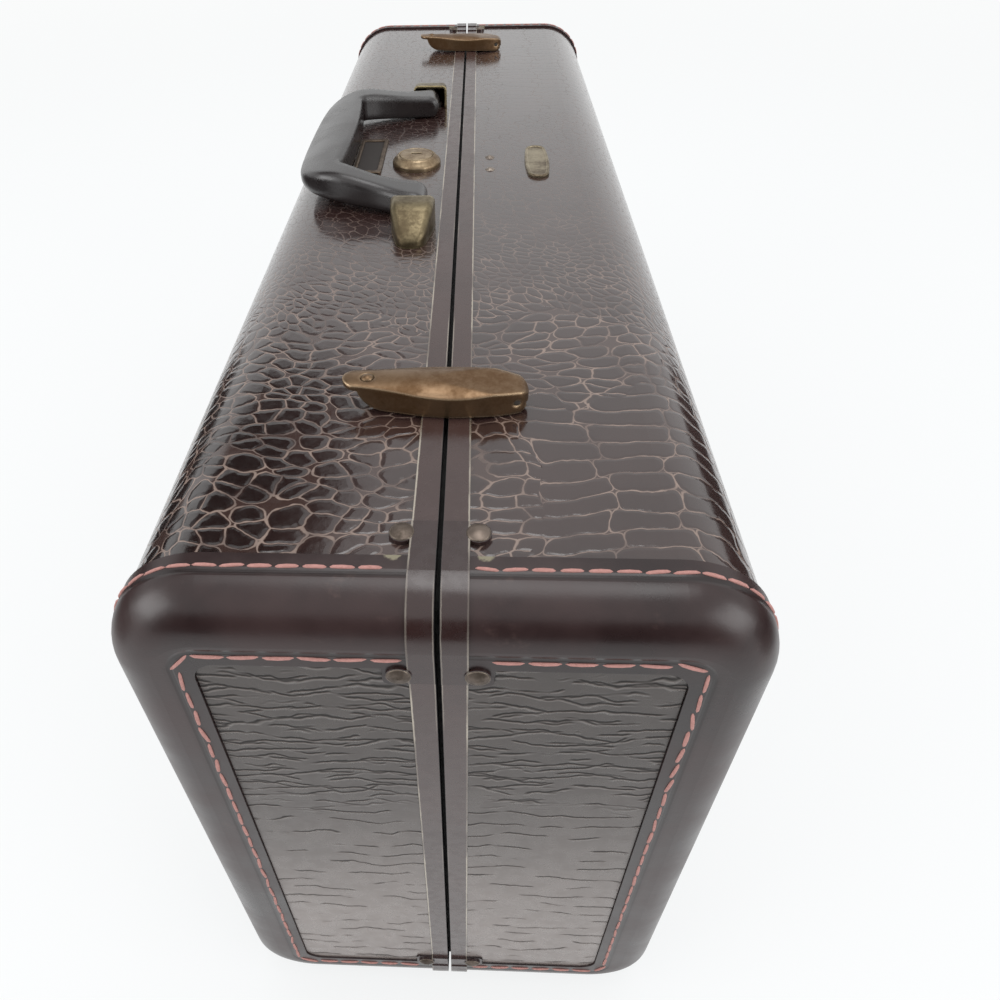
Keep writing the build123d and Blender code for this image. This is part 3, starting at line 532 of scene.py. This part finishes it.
def creased_vinyl():
    """Satin vinyl with painted shade in each crease, a painted highlight on its lip and a painted floor
    reflection toward the foot.
    """
    lip_drop = 0.9
    material, tree, shader = new_material("creased_vinyl_satin")
    place = object_point(tree)
    x, y, z = split_axes(tree, place)
    down = maths(tree, "MULTIPLY", maths(tree, "SUBTRACT", TOP, z), MM_PER_METRE)
    across = maths(tree, "MULTIPLY_ADD", x, MM_PER_METRE, maths(tree, "MULTIPLY", y, 300.0))
    valley_and_shade = crease_lines(tree, across, down)
    lip = crease_lines(tree, across, maths(tree, "SUBTRACT", down, lip_drop))
    shade = noise(tree, place, 30.0, 4.0)
    skin = blend(tree, shade, "#2a2320", "#3f3530")
    # Painted reflection: paler, greyer vinyl toward the foot stands for the white floor mirrored there.
    floor_reflection_paint = ramp(tree, down, 60.0, 220.0, 0.0, 1.0)
    skin = blend(tree, floor_reflection_paint, skin, blend(tree, shade, "#6d6460", "#857a75"))
    # Painted highlight on the lip under each crease, then painted shade in its valley.
    lip_highlighted = blend(tree, maths(tree, "MULTIPLY", lip, 0.35), skin, "#8a807a")
    colour = blend(tree, maths(tree, "MULTIPLY", valley_and_shade, 0.75), lip_highlighted, "#060303")
    wire(tree, colour, shader, "Base Color")
    rough = ramp(tree, noise(tree, place, 200.0, 3.0), 0.3, 0.7, 0.24, 0.36)
    wire(tree, maths(tree, "MULTIPLY_ADD", valley_and_shade, 0.5, rough), shader, "Roughness")
    shader.inputs["IOR"].default_value = 1.55
    fine = noise(tree, place, 800.0, 3.0)
    height = maths(tree, "SUBTRACT", maths(tree, "MULTIPLY_ADD", fine, 0.15, lip), valley_and_shade)
    add_bump(tree, shader, 0.6, 0.32, height)
    return material


end_vinyl = creased_vinyl()
print("end panel", len(end_vinyl.node_tree.nodes), "nodes")

# %% [markdown]
# ## Binding leather
# The bindings are smooth leather, dyed dark and waxed, rubbed paler on the corners by years of
# standing. Fine pores and a few soft scuffs keep it from looking like plastic. Sewing has pulled
# the leather down, so a dented line with painted shade runs 1.7 mm outside each row of stitches. On
# the end face it is drawn by the distance from a rounded rectangle, and on the sides by the row's
# place along the case. A broader, less dark strip of painted shade fills the end face between the
# stitches and the panel. Beside each corner strap is a green spot of verdigris, which brass leaves
# in waxed leather.


# %% Leather
def seam_valley(tree, x, y, z):
    """1 in the line just outside each row of stitches, and 0.6 in the strip beside the panel: the dent and
    the painted shade there.
    """
    off_row = 1.7
    strip_middle = 4.0
    corner = RING_RADIUS / MM
    across = from_zero(tree, x)
    above = from_zero(tree, maths(tree, "SUBTRACT", z, MIDDLE))
    along = from_zero(tree, y)
    reach_x = (HALF_THICK - RING_SIDE) / MM - corner
    reach_z = ((TOP - LOW) / 2 - RING_TOP) / MM - corner
    over_x = maths(tree, "MAXIMUM", maths(tree, "SUBTRACT", across, reach_x), 0.0)
    over_z = maths(tree, "MAXIMUM", maths(tree, "SUBTRACT", above, reach_z), 0.0)
    ring = maths(tree, "SUBTRACT", diagonal(tree, over_x, over_z), corner + off_row)
    on_end = maths(tree, "GREATER_THAN", along, OUTER_END / MM - 0.6)
    end_line = ramp(tree, maths(tree, "ABSOLUTE", ring), 0.3, 1.5, 1.0, 0.0)
    off_strip = maths(tree, "ABSOLUTE", maths(tree, "ADD", ring, strip_middle))
    end_line = maths(tree, "MAXIMUM", end_line, ramp(tree, off_strip, 3.0, 6.5, 0.6, 0.0))
    row = maths(tree, "SUBTRACT", along, (OUTER_END - ROW_INSET) / MM + off_row)
    side_line = ramp(tree, maths(tree, "ABSOLUTE", row), 0.3, 1.5, 1.0, 0.0)
    return choose(tree, on_end, side_line, end_line)


def verdigris_mask(tree, place, x, y):
    """Ragged green spots beside each corner strap, 12 mm from the seam and 20 mm from the end."""
    beside = maths(tree, "SUBTRACT", from_zero(tree, x), 12.0)
    inward = maths(tree, "SUBTRACT", from_zero(tree, y), OUTER_END / MM - 20.0)
    spot = ramp(tree, diagonal(tree, beside, inward), 1.0, 4.0, 1.0, 0.0)
    return ramp(tree, maths(tree, "MULTIPLY", spot, noise(tree, place, 500.0, 3.0, 0.7)), 0.25, 0.45)


def waxed_leather():
    """Smooth dark leather with soft wear, a sunken line with painted shade beside its stitches and a little
    verdigris.
    """
    material, tree, shader = new_material("waxed_leather_dark")
    place = object_point(tree)
    x, y, z = split_axes(tree, place)
    pores = noise(tree, place, 1400.0, 3.0, 0.6)
    cloud = noise(tree, place, 28.0, 4.0, 0.6)
    base = blend(tree, ramp(tree, cloud, 0.3, 0.7), "#1f1212", "#332221")
    scuff = ramp(tree, noise(tree, place, 90.0, 4.0, 0.75), 0.6, 0.78, 0.0, 0.5)
    base = blend(tree, scuff, base, "#4d3a36")
    valley_and_shade = seam_valley(tree, x, y, z)
    # Painted shade in the sunken lines beside the stitches and, lighter, in the strip by the panel.
    base = blend(tree, maths(tree, "MULTIPLY", valley_and_shade, 0.6), base, "#0d0707")
    green = maths(tree, "MULTIPLY", verdigris_mask(tree, place, x, y), 0.8)
    wire(tree, blend(tree, green, base, "#878069"), shader, "Base Color")
    wire(tree, ramp(tree, cloud, 0.3, 0.7, 0.25, 0.38), shader, "Roughness")
    shader.inputs["Specular IOR Level"].default_value = 0.5
    height = maths(tree, "MULTIPLY_ADD", pores, 0.35, maths(tree, "MULTIPLY", cloud, 3.0))
    height = maths(tree, "MULTIPLY_ADD", valley_and_shade, -4.0, height)
    add_bump(tree, shader, 0.4, 0.15, height)
    return material


leather = waxed_leather()
print("leather", leather.name)

# %% [markdown]
# ## Rail and straps
# The aluminium rail round each mouth is lacquered brown. Rubbing has bared the metal along its
# outer edges, which shows as a fine bright line on both sides of the seam, and in patches along
# the inner edges too. The distance from the seam is simply X here, so each bare line is a narrow
# band of X, and the seam gets painted shade, a near-black band of X. The lacquer's index of
# refraction is 1.62, above a real lacquer's 1.5, for the photograph's sheen.


# %% Rail lacquer
def lacquered_rail(name, edge_mm, wear, dark, light):
    """Brown lacquer on aluminium, worn bright near one distance from the seam, with painted shade in the
    seam.
    """
    material, tree, shader = new_material(name)
    place = object_point(tree)
    across = from_zero(tree, split_axes(tree, place)[0])
    ragged = maths(tree, "MULTIPLY_ADD", noise(tree, place, 220.0, 3.0, 0.7), 0.5, -0.25)
    frayed = maths(tree, "ADD", across, ragged)
    outer = ramp(tree, frayed, edge_mm - 0.55, edge_mm - 0.35)
    outer = maths(tree, "MULTIPLY", outer, ramp(tree, across, edge_mm + 0.05, edge_mm + 0.15, 1.0, 0.0))
    outer = maths(tree, "MULTIPLY", outer, ramp(tree, noise(tree, place, 25.0, 3.0), 0.38, 0.55, 0.25, 1.0))
    inner = ramp(tree, maths(tree, "ABSOLUTE", maths(tree, "SUBTRACT", frayed, 1.0)), 0.1, 0.2, 1.0, 0.0)
    patchy = ramp(tree, noise(tree, place, 14.0, 2.0), 0.5, 0.62, 0.0, 0.6)
    bare = maths(tree, "ADD", outer, maths(tree, "MULTIPLY", inner, patchy), clamp=True)
    bare = maths(tree, "MULTIPLY", bare, wear)
    lacquer = blend(tree, noise(tree, place, 40.0, 4.0, 0.6), dark, light)
    colour = blend(tree, bare, lacquer, "#b9b0a3")
    # Painted shade: faces within 0.85 mm of the seam are painted near black for the dark gap between the
    # halves.
    gap = ramp(tree, across, 0.7, 0.85, 1.0, 0.0)
    wire(tree, blend(tree, gap, colour, "#050404"), shader, "Base Color")
    wire(tree, maths(tree, "MULTIPLY", bare, 0.9), shader, "Metallic")
    rough = ramp(tree, noise(tree, place, 300.0, 3.0), 0.3, 0.7, 0.2, 0.32)
    wire(tree, maths(tree, "MULTIPLY_ADD", gap, 0.5, rough), shader, "Roughness")
    shader.inputs["IOR"].default_value = 1.62
    add_bump(tree, shader, 0.15, 0.1, noise(tree, place, 500.0, 3.0))
    return material


rail_lacquer = lacquered_rail("brown_lacquer_on_aluminium", 7.8, 0.95, "#30211f", "#45322f")
strap_lacquer = lacquered_rail("brown_lacquer_on_strap", 7.9, 0.55, "#241413", "#34211f")
print("rail and strap lacquer")

# %% [markdown]
# ## Browned brass
# The latches, lock ring, hoods, rivets and small plates are pressed brass that has lost its
# lacquer and turned brown, paler where fingers and sleeves still rub its edges. Brass is a metal,
# so its colour is in the reflection, and brown oxide is a rougher, darker patch of it. The Bevel
# node rounds the pressed edges in the shading alone, so that they catch a soft line of light. The
# hooks, catches, hinges, glides and the parts that work out of sight are plated steel gone grey.


# %% Brass and steel
def rounded_normal(tree, radius_mm):
    """A normal that rounds sharp edges."""
    return add(tree, "Bevel", {"samples": 8}, Radius=radius_mm * MM).outputs[0]


def edge_mask(tree, soft):
    """How near an edge the point is, from 0 to 1, by how far its rounded normal turns."""
    flat = add(tree, "NewGeometry").outputs["Normal"]
    facing = add(tree, "VectorMath", {"operation": "DOT_PRODUCT"}, in0=soft, in1=flat).outputs["Value"]
    return ramp(tree, facing, 0.8, 0.99, 1.0, 0.0)


def browned_brass(name, light, dark, rubbed, rough_low, rough_high, radius_mm=0.5):
    """Old brass between a paler and an oxidised tone, with edges rubbed bright."""
    material, tree, shader = new_material(name)
    place = object_point(tree)
    cloud = noise(tree, place, 55.0, 5.0, 0.65)
    grit = noise(tree, place, 600.0, 4.0, 0.7)
    soft = rounded_normal(tree, radius_mm)
    edge = edge_mask(tree, soft)
    oxide = ramp(tree, maths(tree, "MULTIPLY_ADD", grit, 0.35, cloud), 0.5, 0.86)
    tone = blend(tree, oxide, light, dark)
    wire(tree, blend(tree, maths(tree, "MULTIPLY", edge, 0.75), tone, rubbed), shader, "Base Color")
    wire(tree, ramp(tree, oxide, 0.0, 1.0, rough_low, rough_high), shader, "Roughness")
    shader.inputs["Metallic"].default_value = 0.85
    add_bump(tree, shader, 0.25, 0.12, grit, Normal=soft)
    return material


def dull_steel(name, light, dark):
    """Plated steel gone grey."""
    material, tree, shader = new_material(name)
    place = object_point(tree)
    cloud = noise(tree, place, 80.0, 4.0, 0.6)
    wire(tree, blend(tree, cloud, light, dark), shader, "Base Color")
    wire(tree, ramp(tree, cloud, 0.3, 0.7, 0.28, 0.45), shader, "Roughness")
    shader.inputs["Metallic"].default_value = 0.9
    add_bump(tree, shader, 0.15, 0.1, noise(tree, place, 900.0, 3.0))
    return material


latch_brass = browned_brass("browned_brass_latches", "#78614a", "#5c432b", "#b39b7e", 0.3, 0.5, 1.8)
hood_brass = browned_brass("olive_brass_hoods", "#7e7258", "#4f4432", "#ac9d76", 0.28, 0.46, 2.4)
lock_brass = browned_brass("rubbed_brass_lock", "#a28f74", "#6a5742", "#bfae8c", 0.3, 0.5)
frame_brass = browned_brass("blackened_brass_frame", "#6b5b4c", "#40352d", "#a39480", 0.36, 0.55)
badge_brass = browned_brass("silvered_brass_badge", "#93876f", "#5a4e40", "#c4b79c", 0.32, 0.5)
strike_brass = browned_brass("worn_brass_strike_rivets", "#9d9186", "#6f655d", "#bdb2a6", 0.35, 0.5)
rivet_brass = browned_brass("oxidised_brass_rivets", "#756960", "#463d35", "#93877a", 0.4, 0.6)
steel = dull_steel("plated_steel_dull", "#8d8b86", "#6b6862")
glide_steel = dull_steel("nickelled_steel_scuffed", "#b3aea4", "#8a857b")
print("brass and steel")

# %% [markdown]
# ## Handle, lining and the rest
# The handle is moulded dark phenolic plastic, polished by the hand, so it is glossy with cloudy
# patches. Its index of refraction is 1.64, a little above phenolic's 1.6, for the sheen. The
# lining is a woven rayon with threads 0.9 mm apart: real ones are finer, but would not show. The
# board is raw, grey-brown and matt, the plate's insert is dark celluloid, and the thread is waxed
# and salmon pink.


# %% Handle, cloth, board and card
def polished_plastic():
    """Dark moulded plastic, glossy with faint hand wear."""
    material, tree, shader = new_material("moulded_phenolic_polished")
    place = object_point(tree)
    cloud = noise(tree, place, 45.0, 4.0, 0.6)
    wire(tree, blend(tree, cloud, "#171212", "#241d1d"), shader, "Base Color")
    wire(tree, ramp(tree, cloud, 0.3, 0.7, 0.18, 0.32), shader, "Roughness")
    shader.inputs["IOR"].default_value = 1.64
    soft = rounded_normal(tree, 5.0)
    add_bump(tree, shader, 0.1, 0.1, noise(tree, place, 300.0, 3.0), Normal=soft)
    return material


def woven_cloth(name, light, dark, pitch_mm):
    """Plain weave drawn by two crossed sine waves."""
    material, tree, shader = new_material(name)
    place = object_point(tree)
    x, y, z = split_axes(tree, place)
    pace = 2 * math.pi / (pitch_mm * MM)
    around = maths(tree, "ADD", maths(tree, "ABSOLUTE", x), z)
    warp = maths(tree, "SINE", maths(tree, "MULTIPLY", y, pace))
    weft = maths(tree, "SINE", maths(tree, "MULTIPLY", around, pace))
    weave = maths(tree, "MULTIPLY_ADD", maths(tree, "MULTIPLY", warp, weft), 0.5, 0.5)
    cloud = noise(tree, place, 30.0, 4.0, 0.6)
    tone = maths(tree, "MULTIPLY_ADD", weave, 0.45, maths(tree, "MULTIPLY", cloud, 0.55))
    wire(tree, blend(tree, tone, dark, light), shader, "Base Color")
    shader.inputs["Roughness"].default_value = 0.75
    shader.inputs["Sheen Weight"].default_value = 0.25
    add_bump(tree, shader, 0.3, 0.15, weave)
    return material


def plain_matt(name, light, dark, grain_scale, rough):
    """A matt surface with a little grain."""
    material, tree, shader = new_material(name)
    grain = noise(tree, object_point(tree), grain_scale, 4.0, 0.65)
    wire(tree, blend(tree, grain, dark, light), shader, "Base Color")
    shader.inputs["Roughness"].default_value = rough
    add_bump(tree, shader, 0.2, 0.1, grain)
    return material


handle_plastic = polished_plastic()
thread_pitch_mm = 0.9
lining_cloth = woven_cloth("rayon_lining_woven", "#b59a7c", "#8a6f55", thread_pitch_mm)
pocket_cloth = woven_cloth("rayon_pocket_woven", "#ab8f70", "#7d634b", thread_pitch_mm)
board = plain_matt("fibreboard_raw", "#7a6450", "#57453a", 500.0, 0.85)
card = plain_matt("celluloid_insert_plain", "#2a221e", "#1c1613", 200.0, 0.7)
thread = plain_matt("waxed_thread_salmon", "#c6918a", "#8c6158", 1100.0, 0.75)
print("handle, cloth, board, card and thread")

# %% [markdown]
# ## Give each CAD piece its finish
# A CAD node keeps its mesh, because the motion checks use it. Only its material slots are
# filled. Each node takes the finish whose key is the longest one found in its name.

# %% Finishes by node
finishes = {
    "cover": covering, "end_panel": end_vinyl, "binding": leather, "rail": rail_lacquer,
    "corner_straps": strap_lacquer, "strap_rivets": rivet_brass, "glides": glide_steel,
    "shell": board, "lining": lining_cloth, "pocket": pocket_cloth, "hinge": steel,
    "handle_hood": hood_brass, "handle_trunnions": steel, "handle_bearings": steel,
    "lock_escutcheon": lock_brass, "lock_plug": lock_brass, "lock_case": steel, "lock_bolt": steel,
    "lock_strike": steel, "strike_rivets": strike_brass, "name_plate_frame": frame_brass,
    "name_plate_insert": card, "badge": badge_brass, "latch_lever": latch_brass,
    "latch_rivet": latch_brass, "latch_hook": steel, "latch_catch": steel, "latch_bracket": steel,
    "latch_pins": steel,
}


def finish_for(name):
    """The finish whose key is the longest one found in a node's name."""
    if name == "handle":
        return handle_plastic
    keys = [key for key in finishes if key in name]
    return finishes[max(keys, key=len)]


for name, piece in nodes.items():
    piece.data.materials.clear()
    piece.data.materials.append(finish_for(name))
print("finished", len(nodes), "nodes")

# %% [markdown]
# ## Stitches
# Each binding is sewn with a thick salmon thread: one row round the sides, 15.2 mm from the end,
# and one round the panel. The stitches nearly touch. Each is a short round thread that rises from
# one hole and dips into the next. One stitch is modelled from a subdivided cube drawn round, and
# copies are laid along the path by matrices, with a little seeded difference in length and lie.

# %% Stitch sizes
SIDE_PITCH = 7.1 * MM
RING_PITCH = 9.2 * MM
STRAP_HALF = 8.5 * MM
print("stitches every", round(SIDE_PITCH, 4), "on the sides and", round(RING_PITCH, 4), "on the ends")


# %% Stitch paths
def rounded_path(half_wide, low, high, radius, start_x):
    """Points of a half rounded rectangle, from the seam at the top round to the seam at the foot."""
    points = []
    for x in np.linspace(start_x, half_wide - radius, 40):
        points.append((x, high))
    for angle in np.linspace(90, 0, 30):
        points.append((half_wide - radius + radius * math.cos(math.radians(angle)),
                       high - radius + radius * math.sin(math.radians(angle))))
    for z in np.linspace(high - radius, low + radius, 120):
        points.append((half_wide, z))
    for angle in np.linspace(0, -90, 30):
        points.append((half_wide - radius + radius * math.cos(math.radians(angle)),
                       low + radius + radius * math.sin(math.radians(angle))))
    for x in np.linspace(half_wide - radius, start_x, 40):
        points.append((x, low))
    return np.array(points)


def walk(points, pitch, start, stop):
    """Evenly spaced places along a path, with the direction there."""
    look = 0.0005
    steps = np.diff(points, axis=0)
    lengths = np.hypot(steps[:, 0], steps[:, 1])
    total = np.concatenate([[0], np.cumsum(lengths)])
    count = int((total[-1] - start - stop) / pitch)
    for index in range(count + 1):
        distance = start + index * pitch
        spot = [np.interp(distance, total, points[:, axis]) for axis in (0, 1)]
        ahead = [np.interp(distance + look, total, points[:, axis]) for axis in (0, 1)]
        behind = [np.interp(distance - look, total, points[:, axis]) for axis in (0, 1)]
        along = np.array(ahead) - np.array(behind)
        yield np.array(spot), along / np.linalg.norm(along)


print("stitch paths")


# %% Stitches
def one_stitch():
    """A stitch 7 mm long along X that is round in section and dips at both ends."""
    half_long, half_wide, half_high, dip = 3.5 * MM, 0.56 * MM, 0.5 * MM, 0.35 * MM
    shape = bmesh.new()
    bmesh.ops.create_cube(shape, size=2.0)
    bmesh.ops.subdivide_edges(shape, edges=shape.edges[:], cuts=3, use_grid_fill=True)
    for vert in shape.verts:
        x, y, z = vert.co
        along = math.sin(x * math.pi / 2)
        end = math.sqrt(max(0.15, 1 - along ** 4))
        vert.co.x = half_long * along
        vert.co.y = half_wide * y * math.sqrt(1 - z * z / 2) * end
        vert.co.z = half_high * z * math.sqrt(1 - y * y / 2) * end - dip * along ** 4
    return shape


def lay_stitches(name, body, places):
    """One mesh of stitches, each at (position, direction along, direction out, stretch)."""
    draw = np.random.default_rng(len(name) * 7 + 3)
    model = one_stitch()
    seed = bpy.data.meshes.new(name + "_seed")
    model.to_mesh(seed)
    model.free()
    whole = bmesh.new()
    for spot, along, out, stretch in places:
        first = len(whole.verts)
        whole.from_mesh(seed)
        whole.verts.ensure_lookup_table()
        verts = whole.verts[first:]
        across = out.cross(along)
        sway = draw.normal(0, 0.07)
        lean = (along + across * sway).normalized()
        turn = Matrix((lean, out.cross(lean), out)).transposed().to_4x4()
        longer = stretch * draw.uniform(0.94, 1.06)
        wider = draw.uniform(0.85, 1.15)
        size = Matrix.Diagonal((longer, wider, 1.0, 1.0))
        bmesh.ops.transform(whole, matrix=Matrix.Translation(spot) @ turn @ size, verts=verts)
    for face in whole.faces:
        face.smooth = True
    bpy.data.meshes.remove(seed)
    piece = finished_object(name, whole, thread)
    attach(piece, body)
    return piece


def half_stitches(side, end):
    """Places of both rows on one half (side -1 base, 1 lid) at one end (-1 near, 1 far)."""
    places = []
    reach = HALF_THICK + BINDING
    row = rounded_path(reach, LOW - BINDING, TOP + BINDING, EDGE_RADIUS + BINDING, 0.0)
    strap_gap = STRAP_HALF + (6.0 * MM if side < 0 and end < 0 else 1.0 * MM)
    for spot, along in walk(row, SIDE_PITCH, strap_gap + 2.8 * MM, 12.0 * MM):
        out = Vector((-along[1] * side, 0, along[0]))
        direction = Vector((along[0] * side, 0, along[1]))
        place = Vector((spot[0] * side, end * (OUTER_END - ROW_INSET), spot[1])) + out * 0.1 * MM
        places.append((place, direction, out, 0.93))
    ring = rounded_path(HALF_THICK - RING_SIDE, LOW + RING_TOP, TOP - RING_TOP, RING_RADIUS, 0.0)
    start = STRAP_HALF + (0.2 * MM if side < 0 else 5.0 * MM)
    for spot, along in walk(ring, RING_PITCH, start + 4.4 * MM, 13.0 * MM):
        direction = Vector((along[0] * side, 0, along[1]))
        place = Vector((spot[0] * side, end * (OUTER_END + 0.15 * MM), spot[1]))
        places.append((place, direction, Vector((0, end, 0)), 1.23))
    return places


for body, side in (("base", -1), ("lid", 1)):
    for end_name, end in (("near", -1), ("far", 1)):
        places = half_stitches(side, end)
        piece = lay_stitches(body + "_stitches_" + end_name, body, places)
        print(piece.name, len(places), "stitches", len(piece.data.polygons), "faces")

# %% [markdown]
# ## The cloth pocket in the lid
# Inside the lid hangs a gathered pocket: rayon sewn at the sides and foot, drawn in at the top by
# an elastic hem. It is a thin sheet in soft upright folds, deepest under the hem. A grid is bent
# by a few waves of different pace, so that no two folds are alike, and the Solidify modifier
# gives it a cloth's thickness.


# %% Pocket
def make_pocket():
    """Gathered cloth from the foot of the pocket up to its hem."""
    broad_fold, fine_fold = 0.0205, 0.0131
    low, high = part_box("lid_pocket")
    front = low.x
    back = front + 3.4 * MM
    closest = front + 0.4 * MM
    shape = bmesh.new()
    bmesh.ops.create_grid(shape, x_segments=260, y_segments=40, size=0.5)
    wide = high.y - low.y - 2 * MM
    tall = high.z - low.z
    for vert in shape.verts:
        y = vert.co.x * wide
        t = vert.co.y + 0.5
        fold = math.sin(y * 2 * math.pi / broad_fold + 0.8 * math.sin(y * 31.0) + 0.5 * t)
        minor = math.sin(y * 2 * math.pi / fine_fold + 2.0 * t)
        depth = (0.35 + 0.65 * t) * (0.9 * fold + 0.4 * minor)
        belly = 1.2 * math.sin(math.pi * t)
        side = min(1.0, (0.5 - abs(vert.co.x)) * 26)
        foot = min(1.0, t * 12)
        x = back - (1.1 * depth + belly + 1.0) * MM * side * foot
        vert.co = (max(x, closest), y, low.z + t * tall)
    bmesh.ops.recalc_face_normals(shape, faces=shape.faces)
    for face in shape.faces:
        face.smooth = True
    piece = finished_object("pocket_cloth", shape, pocket_cloth)
    thickness = piece.modifiers.new("cloth", "SOLIDIFY")
    thickness.thickness = 0.5 * MM
    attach(piece, "lid")
    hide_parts("lid_pocket")


make_pocket()

# %% [markdown]
# ## The pocket's hem
# The hem is a narrow tube of the same cloth, gathered hard on flat elastic. It is made as rings
# round a long section, 24 points each, whose depth follows small folds 5 mm apart. A swept tube
# would stay smooth, and the gathers are what tells elastic from a plain band.


# %% Hem
def make_hem():
    """A gathered tube over the pocket's upper edge."""
    broad_gather, fine_gather = 0.0052, 0.0033
    corners = 24
    low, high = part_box("lid_pocket_band")
    centre = (low + high) / 2
    half = (high - low) / 2
    rings = 420
    shape = bmesh.new()
    rows = []
    for index in range(rings + 1):
        y = low.y + (high.y - low.y) * index / rings
        fold = math.sin(y * 2 * math.pi / broad_gather + 1.4 * math.sin(y * 47.0))
        fold += 0.45 * math.sin(y * 2 * math.pi / fine_gather)
        row = []
        for corner in range(corners):
            angle = corner * math.pi / (corners / 2)
            c, s = math.cos(angle), math.sin(angle)
            deep = half.x * math.copysign(abs(c) ** 0.6, c)
            tall = half.z * math.copysign(abs(s) ** 0.6, s)
            gather = (0.16 * fold - 0.2) * (1 - 0.5 * abs(s))
            x = centre.x + deep * (1 + gather)
            z = centre.z + tall * (0.95 + 0.04 * fold)
            row.append(shape.verts.new((x, y, z)))
        rows.append(row)
    for before, after in zip(rows, rows[1:]):
        for corner in range(corners):
            ahead = (corner + 1) % corners
            shape.faces.new((before[corner], before[ahead], after[ahead], after[corner]))
    shape.faces.new(rows[0][::-1])
    shape.faces.new(rows[-1])
    bmesh.ops.recalc_face_normals(shape, faces=shape.faces)
    for face in shape.faces:
        face.smooth = len(face.verts) == 4
    piece = finished_object("pocket_hem", shape, pocket_cloth)
    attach(piece, "lid")
    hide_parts("lid_pocket_band")
    print("hem", round(high.y - low.y, 3), "wide,", len(piece.data.polygons), "faces")


make_hem()
